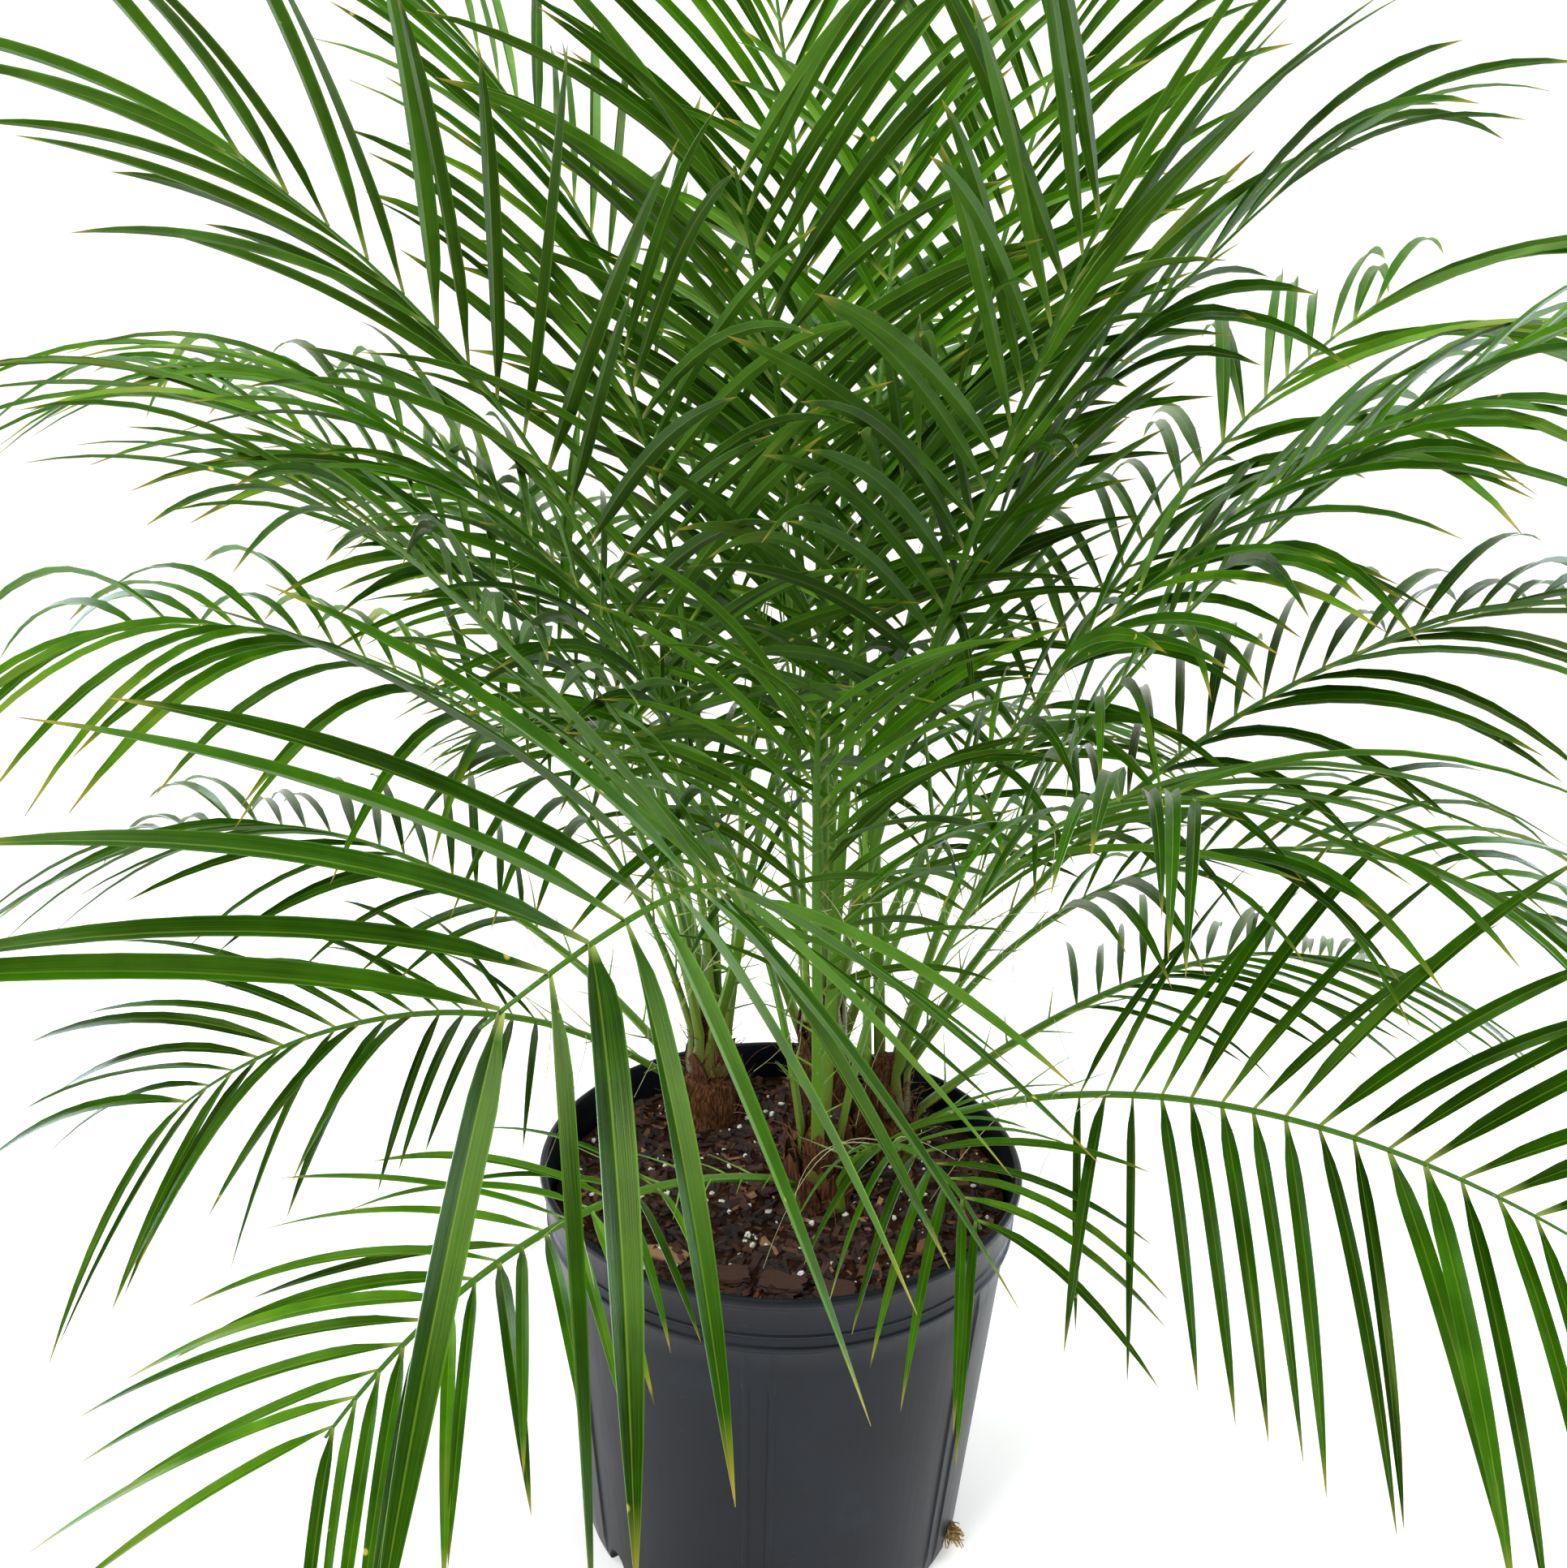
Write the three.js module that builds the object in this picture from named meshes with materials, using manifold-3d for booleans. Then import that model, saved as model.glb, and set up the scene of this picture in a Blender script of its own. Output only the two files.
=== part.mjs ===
// A young feather palm growing from several crowns in a round nursery pot.
// Millimetres, Z up, the origin at the centre of the pot's base.
import * as THREE from 'three';
import Module from 'manifold-3d';

const wasm = await Module();
wasm.setup();
const radians = THREE.MathUtils.degToRad;
const upward = new THREE.Vector3(0, 0, 1);

// ---- pot ----
const rimRadius = 140;
const potHeight = 240;
const wallThickness = 2.2;
const baseRadius = 115;
const lipOverhang = 3.5;
const lipHeight = 4;
const bandStep = 3.5;
const bandHeight = 30;
const bandFlare = 4;
const lipRoll = 3.4;
const floorThickness = 3;
const floorDish = 4;
const footRingWidth = 9;
const centrePadRadius = 16;
const potSides = 56;
const edgeRound = 1.8;
const grooveDepth = 0.9;
const grooveFootHeight = 3.6;
const grooveTopHeight = 8;
const ribAngles = [-91, -97, -38, -33, -148, 30, 90, 150];
const ribDepth = 1.4;
const ribWidth = 4;
const ribFootHeight = 14;
const ribHeadGap = 10;
const ribSink = 0.2;
const drainHoleCount = 6;
const drainHoleWidth = 16;
const drainHoleHeight = 15;
const drainHoleArch = 1.4;
const drainHoleLevel = 2;
const drainHoleTurn = -22;
const drainCutDepth = 26;
const drainCutSides = 16;
const bandRadius = rimRadius - lipOverhang;
const bandTopHeight = potHeight - lipHeight;
const bandFootHeight = bandTopHeight - bandHeight;
const shoulderRadius = bandRadius - bandStep;
const shoulderHeight = bandFootHeight - bandFlare;

// ---- potting mix ----
const mixBelowRim = 18;
const mixEdgeDrop = 4;
const mixEdgeWidth = 9;
const mixMoundWidth = 17;
const mixFootLevel = 12;
const fitGap = 0.3;
const mixLevel = potHeight - mixBelowRim;

// ---- crowns: where each stem stands and how high its foot and neck reach above the mix ----
const crowns = {
  a: { x: -45, y: 70, footHeight: 28, neckHeight: 34, heartRoom: 2, footRoom: 1.3 },
  b: { x: 25, y: 100, footHeight: 28, neckHeight: 42, heartRoom: 2, footRoom: 1.3 },
  c: { x: 62, y: 38, footHeight: 24, neckHeight: 32, heartRoom: 2, footRoom: 1.3 },
  d: { x: 22, y: -18, footHeight: 18, neckHeight: 22, heartRoom: 0.9, footRoom: 0.4 },
};
const crownSides = 14;
const crownBulge = 1.5;
const crownBulgeHeight = 8;
const heartHeight = 9;
const petioleFootRadius = 2.8;
const rachisTipRadius = 0.9;

// Three petioles stand in a ring on the heart, a ring of them round it on the neck, and a third
// ring on the shoulder, so each width follows from the petiole's own.
const ringOfThree = 1 + 2 / Math.sqrt(3);
for (const crown of Object.values(crowns)) {
  crown.heartRadius = ringOfThree * petioleFootRadius + crown.heartRoom;
  crown.neckRadius = crown.heartRadius + 2 * petioleFootRadius + 3 * fitGap;
  crown.footRadius = crown.neckRadius + 2 * petioleFootRadius + 2 * fitGap + crown.footRoom;
  crown.shoulder = mixLevel + crown.footHeight;
  crown.top = crown.shoulder + crown.neckHeight;
  crown.heart = crown.top + heartHeight;
}

// ---- fronds ----
// crown, tier (0 on the shoulder, 1 on the neck, 2 in the middle), slot angle, heading, swing,
// rise at the foot, rise at the tip, length, roll, pairs, leaflet length, droop, lift, spread
const fronds = {
  a1: ['a', 1, -82, -74, -42, 52, -5, 545, 38, 13, 225, 0.05, 4, 62],
  a2: ['a', 1, 196, 186, -2, 75, -9, 440, 8, 17, 195, 0.42, 10, 70],
  a3: ['a', 2, 165, 168, 6, 80, 12, 490, 0, 18, 190, 0.3, 15, 62],
  a4: ['a', 2, 285, -150, -2, 86, 33, 570, -20, 17, 225, 0.15, 8, 62],
  a5: ['a', 1, 148, 150, 12, 84, 0, 560, 0, 19, 190, 0.4, 12, 62],
  a6: ['a', 1, -30, -38, 0, 84, 52, 430, 0, 17, 180, 0.3, 10, 62],
  a7: ['a', 1, 100, 118, 0, 66, -5, 470, 0, 17, 190, 0.35, 10, 66],
  a8: ['a', 0, 210, 205, 0, 42, -34, 320, 10, 15, 155, 0.22, 8, 66],
  a9: ['a', 0, 160, 166, 0, 48, -22, 400, 0, 16, 170, 0.28, 8, 66],
  a10: ['a', 2, 45, -112, 0, 85, 58, 430, 0, 16, 175, 0.25, 10, 58],
  a11: ['a', 1, 237, 222, -4, 78, 30, 420, 0, 16, 180, 0.3, 10, 62],
  b1: ['b', 2, 110, 105, 4, 86, 62, 610, 0, 22, 200, 0.15, 12, 56],
  b2: ['b', 1, -55, -60, -2, 74, 58, 520, -15, 19, 210, 0.14, 8, 58],
  b3: ['b', 1, 40, 50, 3, 78, 62, 620, 0, 20, 200, 0.2, 10, 58],
  b4: ['b', 1, 165, 150, 0, 82, 45, 620, 0, 20, 200, 0.2, 10, 58],
  b5: ['b', 1, 88, 88, 0, 70, 18, 560, 0, 18, 190, 0.3, 10, 62],
  b6: ['b', 0, 50, 60, 0, 52, -28, 430, 0, 15, 165, 0.3, 10, 66],
  b7: ['b', 0, 125, 122, 0, 50, -30, 430, 0, 15, 165, 0.3, 10, 66],
  b8: ['b', 1, -8, -18, 0, 84, 42, 560, 0, 19, 200, 0.3, 10, 60],
  b9: ['b', 2, 230, -112, 6, 85, 50, 520, 0, 18, 190, 0.2, 10, 58],
  c1: ['c', 2, -15, -20, 8, 72, 35, 520, 0, 20, 215, 0.42, 14, 62],
  c2: ['c', 0, -48, -46, 10, 37, -16, 400, -38, 16, 185, 0.14, 4, 74],
  c3: ['c', 1, -22, -10, -4, 64, -31, 400, 0, 16, 180, 0.34, 10, 62],
  c4: ['c', 0, 12, 14, 14, 37, -28, 340, 0, 15, 160, 0.25, 8, 62],
  c5: ['c', 1, 62, 28, 0, 74, 28, 560, 0, 20, 215, 0.4, 12, 60],
  c6: ['c', 1, 20, 8, 2, 62, 2, 500, 0, 18, 205, 0.4, 12, 62],
  c7: ['c', 1, -66, -66, 0, 70, 14, 380, 0, 14, 175, 0.3, 8, 60],
  c8: ['c', 1, 110, 104, 0, 80, 40, 480, 0, 16, 180, 0.3, 10, 60],
  d1: ['d', 0, -140, -137, 13, 28, -29, 330, 0, 15, 150, 0.16, 5, 64],
  d2: ['d', 0, -50, -60, 0, 62, -34, 160, -10, 8, 125, 0.35, 8, 62],
  d3: ['d', 1, -100, -106, 16, 84, 58, 300, 0, 13, 140, 0.25, 8, 56],
  d4: ['d', 2, 60, 75, 6, 86, 60, 540, 0, 18, 185, 0.25, 10, 58],
  d5: ['d', 1, 10, -8, 6, 82, 30, 480, 0, 17, 190, 0.35, 12, 62],
  d6: ['d', 1, 170, 172, -8, 82, 34, 440, 0, 16, 180, 0.35, 12, 62],
};
const curveSteps = 60;
const bareShare = 0.32;
const leafletHalfWidth = 3;
const leafletClearance = 0.9;
const midribClearance = 0.3;
const midribStride = 3;
const sharedFoot = 0.15;
const potClearance = 4;
const potChecks = 14;
const spreadLoss = 30;
const spreadScatter = 10;
const liftScatter = 20;
const lengthScatter = 0.16;
const droopScatter = 0.6;
const shortestShare = 0.55;
const lengthTries = [1, 0.8, 0.6, 0.4, 0.22];
const turnTries = 25;
const turnStep = 5;
const liftStep = 7;

// ---- spears: the unopened leaves in the middle of the taller crowns ----
const spears = {
  spear_a: { crown: 'a', slot: 30, heading: 60, rise: 84, length: 300 },
  spear_b: { crown: 'b', slot: 205, heading: 195, rise: 86, length: 330 },
  spear_c: { crown: 'c', slot: 160, heading: 120, rise: 84, length: 270 },
};
const spearFootRadius = 2.6;
const spearTipRadius = 0.4;
const spearSides = 8;

// ---- loose bark and roots ----
const barkChips = {
  bark_a: { x: 2, y: -103, turn: 12, length: 24, width: 14, thick: 5 },
  bark_b: { x: 30, y: -108, turn: -20, length: 20, width: 12, thick: 5 },
  bark_c: { x: -62, y: -78, turn: -14, length: 26, width: 7, thick: 3 },
  bark_d: { x: -24, y: -96, turn: 34, length: 15, width: 10, thick: 4 },
};
const rootTurn = -22;
const rootInset = 9;
const rootReach = 17;
const rootDrop = 6;
const rootSway = 3;
const rootRadius = 1.9;
const rootTaper = 0.55;
const rootSteps = 7;
const rootSides = 7;

// ---- colours and finishes ----
const finish = {
  pot: ['#2a2c2f', 0.45],
  mix: ['#3a2219', 0.95],
  bark: ['#5a3a28', 0.9],
  crown: ['#5b3d26', 0.9],
  leaf: ['#2f6b17', 0.4],
  spear: ['#86a63c', 0.45],
  root: ['#b08a5a', 0.8],
};

const root = new THREE.Group();
root.name = 'potted_feather_palm';

function addNode(name, geometry, kind) {
  const [color, roughness] = finish[kind];
  const material = new THREE.MeshStandardMaterial({ color, roughness, metalness: 0 });
  const mesh = new THREE.Mesh(geometry, material);
  mesh.name = name;
  root.add(mesh);
  return mesh;
}

// ---- booleans ----
function toSolid(geometry) {
  const bare = geometry.index ? geometry.toNonIndexed() : geometry.clone();
  const position = bare.getAttribute('position');
  const seen = new Map();
  const vertices = [];
  const triangles = [];
  for (let i = 0; i < position.count; i += 1) {
    const p = [position.getX(i), position.getY(i), position.getZ(i)];
    const key = p.map((v) => Math.round(v * 1e4)).join(',');
    if (!seen.has(key)) {
      seen.set(key, vertices.length / 3);
      vertices.push(...p);
    }
    triangles.push(seen.get(key));
  }
  const kept = [];
  for (let i = 0; i < triangles.length; i += 3) {
    const [a, b, c] = triangles.slice(i, i + 3);
    if (a !== b && b !== c && c !== a) kept.push(a, b, c);
  }
  return new wasm.Manifold(new wasm.Mesh({
    numProp: 3,
    vertProperties: new Float32Array(vertices),
    triVerts: new Uint32Array(kept),
  }));
}

function fromSolid(solid) {
  const mesh = solid.getMesh();
  const geometry = new THREE.BufferGeometry();
  geometry.setAttribute('position', new THREE.BufferAttribute(new Float32Array(mesh.vertProperties), 3));
  geometry.setIndex(new THREE.BufferAttribute(new Uint32Array(mesh.triVerts), 1));
  geometry.computeVertexNormals();
  return geometry;
}

// A closed outline of radius and height, turned about the upright axis.
function turned(outline, sides) {
  const points = outline.map(([radius, height]) => new THREE.Vector2(radius, height));
  const geometry = new THREE.LatheGeometry(points, sides);
  geometry.rotateX(Math.PI / 2);
  return geometry;
}

// ---- pot: a tapered shell with a rolled lip, a stiffening band and slots round its foot ----
function wallRadiusAt(height) {
  return baseRadius + (shoulderRadius - baseRadius) * (height / shoulderHeight);
}

function makePot() {
  const outline = [
    [0, 0],
    [centrePadRadius, 0],
    [centrePadRadius + 3, floorDish],
    [baseRadius - footRingWidth - 4, floorDish],
    [baseRadius - footRingWidth, 0],
    [baseRadius - edgeRound, 0],
    [baseRadius, edgeRound],
    [shoulderRadius, shoulderHeight],
    [bandRadius - edgeRound, bandFootHeight],
    [bandRadius, bandFootHeight + edgeRound],
    [bandRadius - grooveDepth, bandFootHeight + grooveFootHeight],
    [bandRadius - grooveDepth, bandFootHeight + grooveTopHeight],
    [bandRadius, bandFootHeight + grooveTopHeight + edgeRound],
    [bandRadius + 0.6, bandTopHeight - 4],
    [rimRadius - 1.2, bandTopHeight - 1.6],
    [rimRadius, bandTopHeight + 1],
    [rimRadius - 0.8, potHeight - 0.9],
    [rimRadius - lipRoll + 0.8, potHeight],
    [rimRadius - lipRoll - 1, potHeight - 1.2],
    [bandRadius - wallThickness - 0.4, bandTopHeight - 4],
    [bandRadius - wallThickness - 1.4, bandFootHeight + 3],
    [shoulderRadius - wallThickness, shoulderHeight],
    [baseRadius - wallThickness, floorDish + floorThickness],
    [0, floorDish + floorThickness],
  ];
  let solid = toSolid(turned(outline, potSides));
  for (let i = 0; i < drainHoleCount; i += 1) {
    const radius = drainHoleWidth / 2;
    const slot = new THREE.CylinderGeometry(radius, radius, drainCutDepth, drainCutSides);
    slot.rotateZ(Math.PI / 2);
    slot.scale(1, drainHoleHeight / drainHoleWidth * drainHoleArch, 1);
    slot.rotateX(Math.PI / 2);
    slot.translate(baseRadius, 0, drainHoleLevel);
    slot.rotateZ(radians(drainHoleTurn + i * 360 / drainHoleCount));
    solid = solid.subtract(toSolid(slot));
  }
  const ribLength = shoulderHeight - ribFootHeight - ribHeadGap;
  const ribMiddle = ribFootHeight + ribLength / 2;
  for (const angle of ribAngles) {
    const rib = new THREE.BoxGeometry(ribDepth * 2, ribWidth, ribLength);
    rib.rotateY(Math.atan2(shoulderRadius - baseRadius, shoulderHeight));
    rib.translate(wallRadiusAt(ribMiddle) - ribSink, 0, ribMiddle);
    rib.rotateZ(radians(angle));
    solid = solid.add(toSolid(rib));
  }
  return fromSolid(solid);
}

// ---- mix: fills the pot to a little under its rim, with a soft mound ----
function makeMix() {
  const floorTop = floorDish + floorThickness;
  const footShare = (mixFootLevel - floorTop) / (shoulderHeight - floorTop);
  const spread = shoulderRadius - baseRadius;
  const foot = baseRadius - wallThickness + spread * footShare - fitGap;
  const neck = shoulderRadius - wallThickness - fitGap;
  const outline = [
    [0, mixFootLevel],
    [foot, mixFootLevel],
    [neck, shoulderHeight],
    [neck, mixLevel - mixEdgeDrop],
    [neck - mixEdgeWidth, mixLevel - 0.6],
    [neck - mixMoundWidth, mixLevel],
    [0, mixLevel],
  ];
  return turned(outline, potSides);
}

// ---- crown: a stout fibrous foot with a narrower neck that the petioles leave ----
function makeCrown(crown) {
  const outline = [
    [0, mixLevel + fitGap],
    [crown.footRadius, mixLevel + fitGap],
    [crown.footRadius + crownBulge, mixLevel + crownBulgeHeight],
    [crown.footRadius, crown.shoulder],
    [crown.neckRadius, crown.shoulder],
    [crown.neckRadius, crown.top],
    [crown.heartRadius, crown.top],
    [crown.heartRadius, crown.heart],
    [0, crown.heart],
  ];
  const geometry = turned(outline, crownSides);
  geometry.translate(crown.x, crown.y, 0);
  return geometry;
}

// ---- the line of a frond's midrib ----

function footOf(crown, tier, slot) {
  const rim = [crown.footRadius, crown.neckRadius, crown.heartRadius][tier];
  const inner = rim - petioleFootRadius - fitGap;
  const level = [crown.shoulder, crown.top, crown.heart][tier];
  const angle = radians(slot);
  return new THREE.Vector3(
    crown.x + inner * Math.cos(angle),
    crown.y + inner * Math.sin(angle),
    level + fitGap,
  );
}

function midribLine(row) {
  const [crownName, tier, slot, heading, swing, riseFoot, riseTip, length] = row;
  const points = [footOf(crowns[crownName], tier, slot)];
  for (let i = 0; i < curveSteps; i += 1) {
    const share = (i + 0.5) / curveSteps;
    const turn = radians(heading + swing * share);
    const rise = radians(riseFoot + (riseTip - riseFoot) * share ** 1.3);
    const step = new THREE.Vector3(
      Math.cos(rise) * Math.cos(turn),
      Math.cos(rise) * Math.sin(turn),
      Math.sin(rise),
    );
    points.push(points[i].clone().addScaledVector(step, length / curveSteps));
  }
  return points;
}

function placeOn(points, share) {
  const place = Math.min(Math.max(share, 0), 1) * curveSteps;
  const low = Math.min(Math.floor(place), curveSteps - 1);
  const point = points[low].clone().lerp(points[low + 1], place - low);
  const ahead = points[Math.min(low + 2, curveSteps)];
  const behind = points[Math.max(low - 1, 0)];
  const along = ahead.clone().sub(behind).normalize();
  const side = along.clone().cross(upward).normalize();
  const over = side.clone().cross(along);
  return { point, along, side, over };
}

function speckle(seed) {
  const value = Math.sin(seed * 12.9898 + 4.1414) * 43758.5453;
  return value - Math.floor(value);
}

function radiusAt(share) {
  return petioleFootRadius + (rachisTipRadius - petioleFootRadius) * share;
}

// The leaf blade's own left-to-right and upward directions once it has rolled about its midrib.
function rolled(side, over, roll) {
  const tilt = radians(roll);
  const across = side.clone().multiplyScalar(Math.cos(tilt)).addScaledVector(over, Math.sin(tilt));
  const above = over.clone().multiplyScalar(Math.cos(tilt)).addScaledVector(side, -Math.sin(tilt));
  return { across, above };
}

// How far out along the midrib a pair of leaflets stands.
function pairShare(pair, pairs) {
  return bareShare + (1 - bareShare) * (pair + 0.6) / pairs;
}

// ---- one leaflet: where it leaves the midrib and where its tip lies ----
function leafletLine(row, frondIndex, points, pair, hand, turnMore, liftMore, keep) {
  const [roll, pairs, leafLength, droop, lift, spread] = row.slice(8);
  const up = (pair + 0.5) / pairs;
  const share = pairShare(pair, pairs);
  const { point, along, side, over } = placeOn(points, share);
  const { across, above } = rolled(side, over, roll);
  const first = speckle(frondIndex * 131 + pair * 7 + hand * 3);
  const second = speckle(frondIndex * 57 + pair * 13 + hand * 5 + 0.5);
  const open = radians(spread - spreadLoss * up + (first - 0.5) * spreadScatter + turnMore);
  const raise = radians(lift + (second - 0.5) * liftScatter + liftMore);
  const start = along.clone().multiplyScalar(Math.cos(open));
  start.addScaledVector(across, hand * Math.sin(open) * Math.cos(raise));
  start.addScaledVector(above, Math.sin(open) * Math.sin(raise));
  const swell = shortestShare + (1 - shortestShare) * Math.sin(Math.PI * (0.12 + 0.6 * up));
  const length = leafLength * swell * (1 + (second - 0.5) * lengthScatter) * keep;
  const sag = droop * (1 + (first - 0.5) * droopScatter);
  const end = start.clone().addScaledVector(upward, -2 * sag).normalize();
  const middle = point.clone().addScaledVector(start, length / 2);
  const tip = middle.clone().addScaledVector(end, length / 2);
  return { point, middle, tip, share };
}

// ---- clear distance between a leaflet and everything already placed ----
function nearest(a0, a1, b0, b1) {
  const u = a1.clone().sub(a0);
  const v = b1.clone().sub(b0);
  const w = a0.clone().sub(b0);
  const uu = u.dot(u);
  const vv = v.dot(v);
  const vw = v.dot(w);
  const uw = u.dot(w);
  const uv = u.dot(v);
  const spread = uu * vv - uv * uv;
  const limit = (value) => Math.min(Math.max(value, 0), 1);
  let s = spread > 1e-9 ? limit((uv * vw - uw * vv) / spread) : 0;
  let t = (uv * s + vw) / vv;
  if (t < 0) {
    s = limit(-uw / uu);
    t = 0;
  } else if (t > 1) {
    s = limit((uv - uw) / uu);
    t = 1;
  }
  const gap = w.addScaledVector(u, s).addScaledVector(v, -t).length();
  return { gap, s, t };
}

const placed = [];

function addPlaced(start, end, startRadius, endRadius, owner, hand) {
  const middle = start.clone().add(end).multiplyScalar(0.5);
  const reach = start.distanceTo(end) / 2;
  placed.push({ start, end, startRadius, endRadius, owner, hand, middle, reach });
}

function isClear(start, tip, owner, hand) {
  for (let i = 1; i <= potChecks; i += 1) {
    const p = start.clone().lerp(tip, i / potChecks);
    if (p.z < potClearance) return false;
    const outside = Math.hypot(p.x, p.y) > rimRadius + potClearance;
    if (p.z < potHeight + potClearance && !outside) return false;
  }
  const middle = start.clone().add(tip).multiplyScalar(0.5);
  const reach = start.distanceTo(tip) / 2;
  const pastFoot = start.clone().lerp(tip, sharedFoot);
  for (const other of placed) {
    if (middle.distanceTo(other.middle) > reach + other.reach + 4 * leafletHalfWidth) continue;
    const joined = other.owner === owner && other.hand !== hand;
    const from = joined ? pastFoot : start;
    const { gap, s, t } = nearest(from, tip, other.start, other.end);
    const own = leafletHalfWidth * (1 - s);
    const theirs = other.startRadius * (1 - t) + other.endRadius * t;
    if (gap < own + theirs + leafletClearance) return false;
  }
  return true;
}

const frondNames = Object.keys(fronds);
const midribs = frondNames.map((name) => midribLine(fronds[name]));

midribs.forEach((points, owner) => {
  for (let i = 0; i < curveSteps; i += midribStride) {
    const from = radiusAt(i / curveSteps) + midribClearance;
    const to = radiusAt((i + midribStride) / curveSteps) + midribClearance;
    addPlaced(points[i], points[i + midribStride], from, to, owner, 0);
  }
});

const spearLines = Object.entries(spears).map(([name, spear]) => {
  const start = footOf(crowns[spear.crown], 1, spear.slot);
  const rise = radians(spear.rise);
  const turn = radians(spear.heading);
  const along = new THREE.Vector3(
    Math.cos(rise) * Math.cos(turn),
    Math.cos(rise) * Math.sin(turn),
    Math.sin(rise),
  );
  const end = start.clone().addScaledVector(along, spear.length);
  addPlaced(start, end, spearFootRadius + midribClearance, spearTipRadius + midribClearance, name, 0);
  return { name, start, end };
});

Object.entries(crowns).forEach(([name, crown]) => {
  const foot = new THREE.Vector3(crown.x, crown.y, mixLevel);
  const shoulder = new THREE.Vector3(crown.x, crown.y, crown.shoulder);
  const top = new THREE.Vector3(crown.x, crown.y, crown.heart);
  addPlaced(foot, shoulder, crown.footRadius + 2, crown.footRadius + 2, name, 0);
  addPlaced(shoulder, top, crown.neckRadius + 1, crown.neckRadius + 1, name, 0);
});

const leaflets = frondNames.map((name, owner) => {
  const row = fronds[name];
  const found = [];
  for (let pair = 0; pair < row[9]; pair += 1) {
    for (const hand of [1, -1]) {
      let chosen = null;
      for (const keep of lengthTries) {
        for (let attempt = 0; attempt < turnTries && !chosen; attempt += 1) {
          const ring = Math.floor((attempt + 5) / 6);
          const angle = attempt * Math.PI / 3 + ring * 0.5;
          const turnMore = turnStep * ring * Math.cos(angle);
          const liftMore = liftStep * ring * Math.sin(angle);
          const line = leafletLine(row, owner, midribs[owner], pair, hand, turnMore, liftMore, keep);
          if (isClear(line.point, line.tip, owner, hand)) chosen = line;
        }
        if (chosen) break;
      }
      if (chosen) {
        addPlaced(chosen.point, chosen.tip, leafletHalfWidth, 0, owner, hand);
        found.push({ ...chosen, pair, hand });
      }
    }
  }
  return found;
});

// ---- a frond: one four-sided stalk whose side edges are drawn out into leaflets ----
function makeFrond(row, points, ownLeaflets) {
  const [length, roll, pairs] = row.slice(7);
  const rings = [0, 0.2, 0.45, 0.7, 0.9].map((reach) => ({ share: reach * bareShare }));
  for (let pair = 0; pair < pairs; pair += 1) {
    const share = pairShare(pair, pairs);
    const half = leafletHalfWidth / length;
    const tips = {};
    for (const leaflet of ownLeaflets) {
      if (leaflet.pair === pair) tips[leaflet.hand] = leaflet.tip;
    }
    rings.push({ share: share - half }, { share, tips }, { share: share + half });
  }
  rings.push({ share: 1 });
  const geometry = new THREE.CylinderGeometry(1, 1, 1, 4, rings.length - 1);
  const position = geometry.getAttribute('position');
  const last = rings.length - 1;
  for (let i = 0; i < position.count; i += 1) {
    const x = position.getX(i);
    const z = position.getZ(i);
    const ring = Math.round((position.getY(i) + 0.5) * last);
    const { share, tips } = rings[ring];
    const { point, side, over } = placeOn(points, share);
    const { across, above } = rolled(side, over, roll * Math.min(share / bareShare, 1));
    if (ring === 0) above.setZ(0).normalize();
    const radius = radiusAt(share);
    const place = point.clone().addScaledVector(across, x * radius).addScaledVector(above, z * radius);
    if (tips && x > 0.5 && tips[1]) place.copy(tips[1]);
    if (tips && x < -0.5 && tips[-1]) place.copy(tips[-1]);
    position.setXYZ(i, place.x, place.y, place.z);
  }
  geometry.computeVertexNormals();
  return geometry;
}

// ---- root: one stout root that has found its way out of a drain slot ----
function makeRoot() {
  const geometry = new THREE.CylinderGeometry(1, 1, 1, rootSides, rootSteps);
  geometry.rotateZ(-Math.PI / 2);
  const position = geometry.getAttribute('position');
  for (let i = 0; i < position.count; i += 1) {
    const share = position.getX(i) + 0.5;
    const radius = rootRadius * (1 - rootTaper * share);
    const drop = rootDrop * share ** 2;
    const sway = rootSway * Math.sin(share * 4);
    const level = floorDish + floorThickness + fitGap + rootRadius - drop;
    const x = baseRadius - rootInset + rootReach * share;
    const y = sway + position.getY(i) * radius;
    const z = level + position.getZ(i) * radius;
    position.setXYZ(i, x, y, z);
  }
  geometry.computeVertexNormals();
  geometry.rotateZ(radians(rootTurn));
  return geometry;
}

// ---- assemble ----
addNode('nursery_pot', makePot(), 'pot');
addNode('potting_mix', makeMix(), 'mix');

for (const [name, crown] of Object.entries(crowns)) {
  addNode(`crown_${name}`, makeCrown(crown), 'crown');
}

frondNames.forEach((name, owner) => {
  addNode(`frond_${name}`, makeFrond(fronds[name], midribs[owner], leaflets[owner]), 'leaf');
});

for (const { name, start, end } of spearLines) {
  const length = start.distanceTo(end);
  const geometry = new THREE.CylinderGeometry(spearTipRadius, spearFootRadius, length, spearSides);
  geometry.translate(0, length / 2, 0);
  const along = end.clone().sub(start).normalize();
  geometry.applyQuaternion(new THREE.Quaternion().setFromUnitVectors(new THREE.Vector3(0, 1, 0), along));
  geometry.translate(start.x, start.y, start.z + fitGap);
  addNode(name, geometry, 'spear');
}

for (const [name, chip] of Object.entries(barkChips)) {
  const geometry = new THREE.BoxGeometry(chip.length, chip.width, chip.thick);
  geometry.rotateZ(radians(chip.turn));
  geometry.translate(chip.x, chip.y, mixLevel + fitGap + chip.thick / 2);
  addNode(name, geometry, 'bark');
}

addNode('stray_root', makeRoot(), 'root');

export default root;
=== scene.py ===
import math
import random

import bmesh
import bpy
from mathutils import Matrix, Vector, noise


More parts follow.
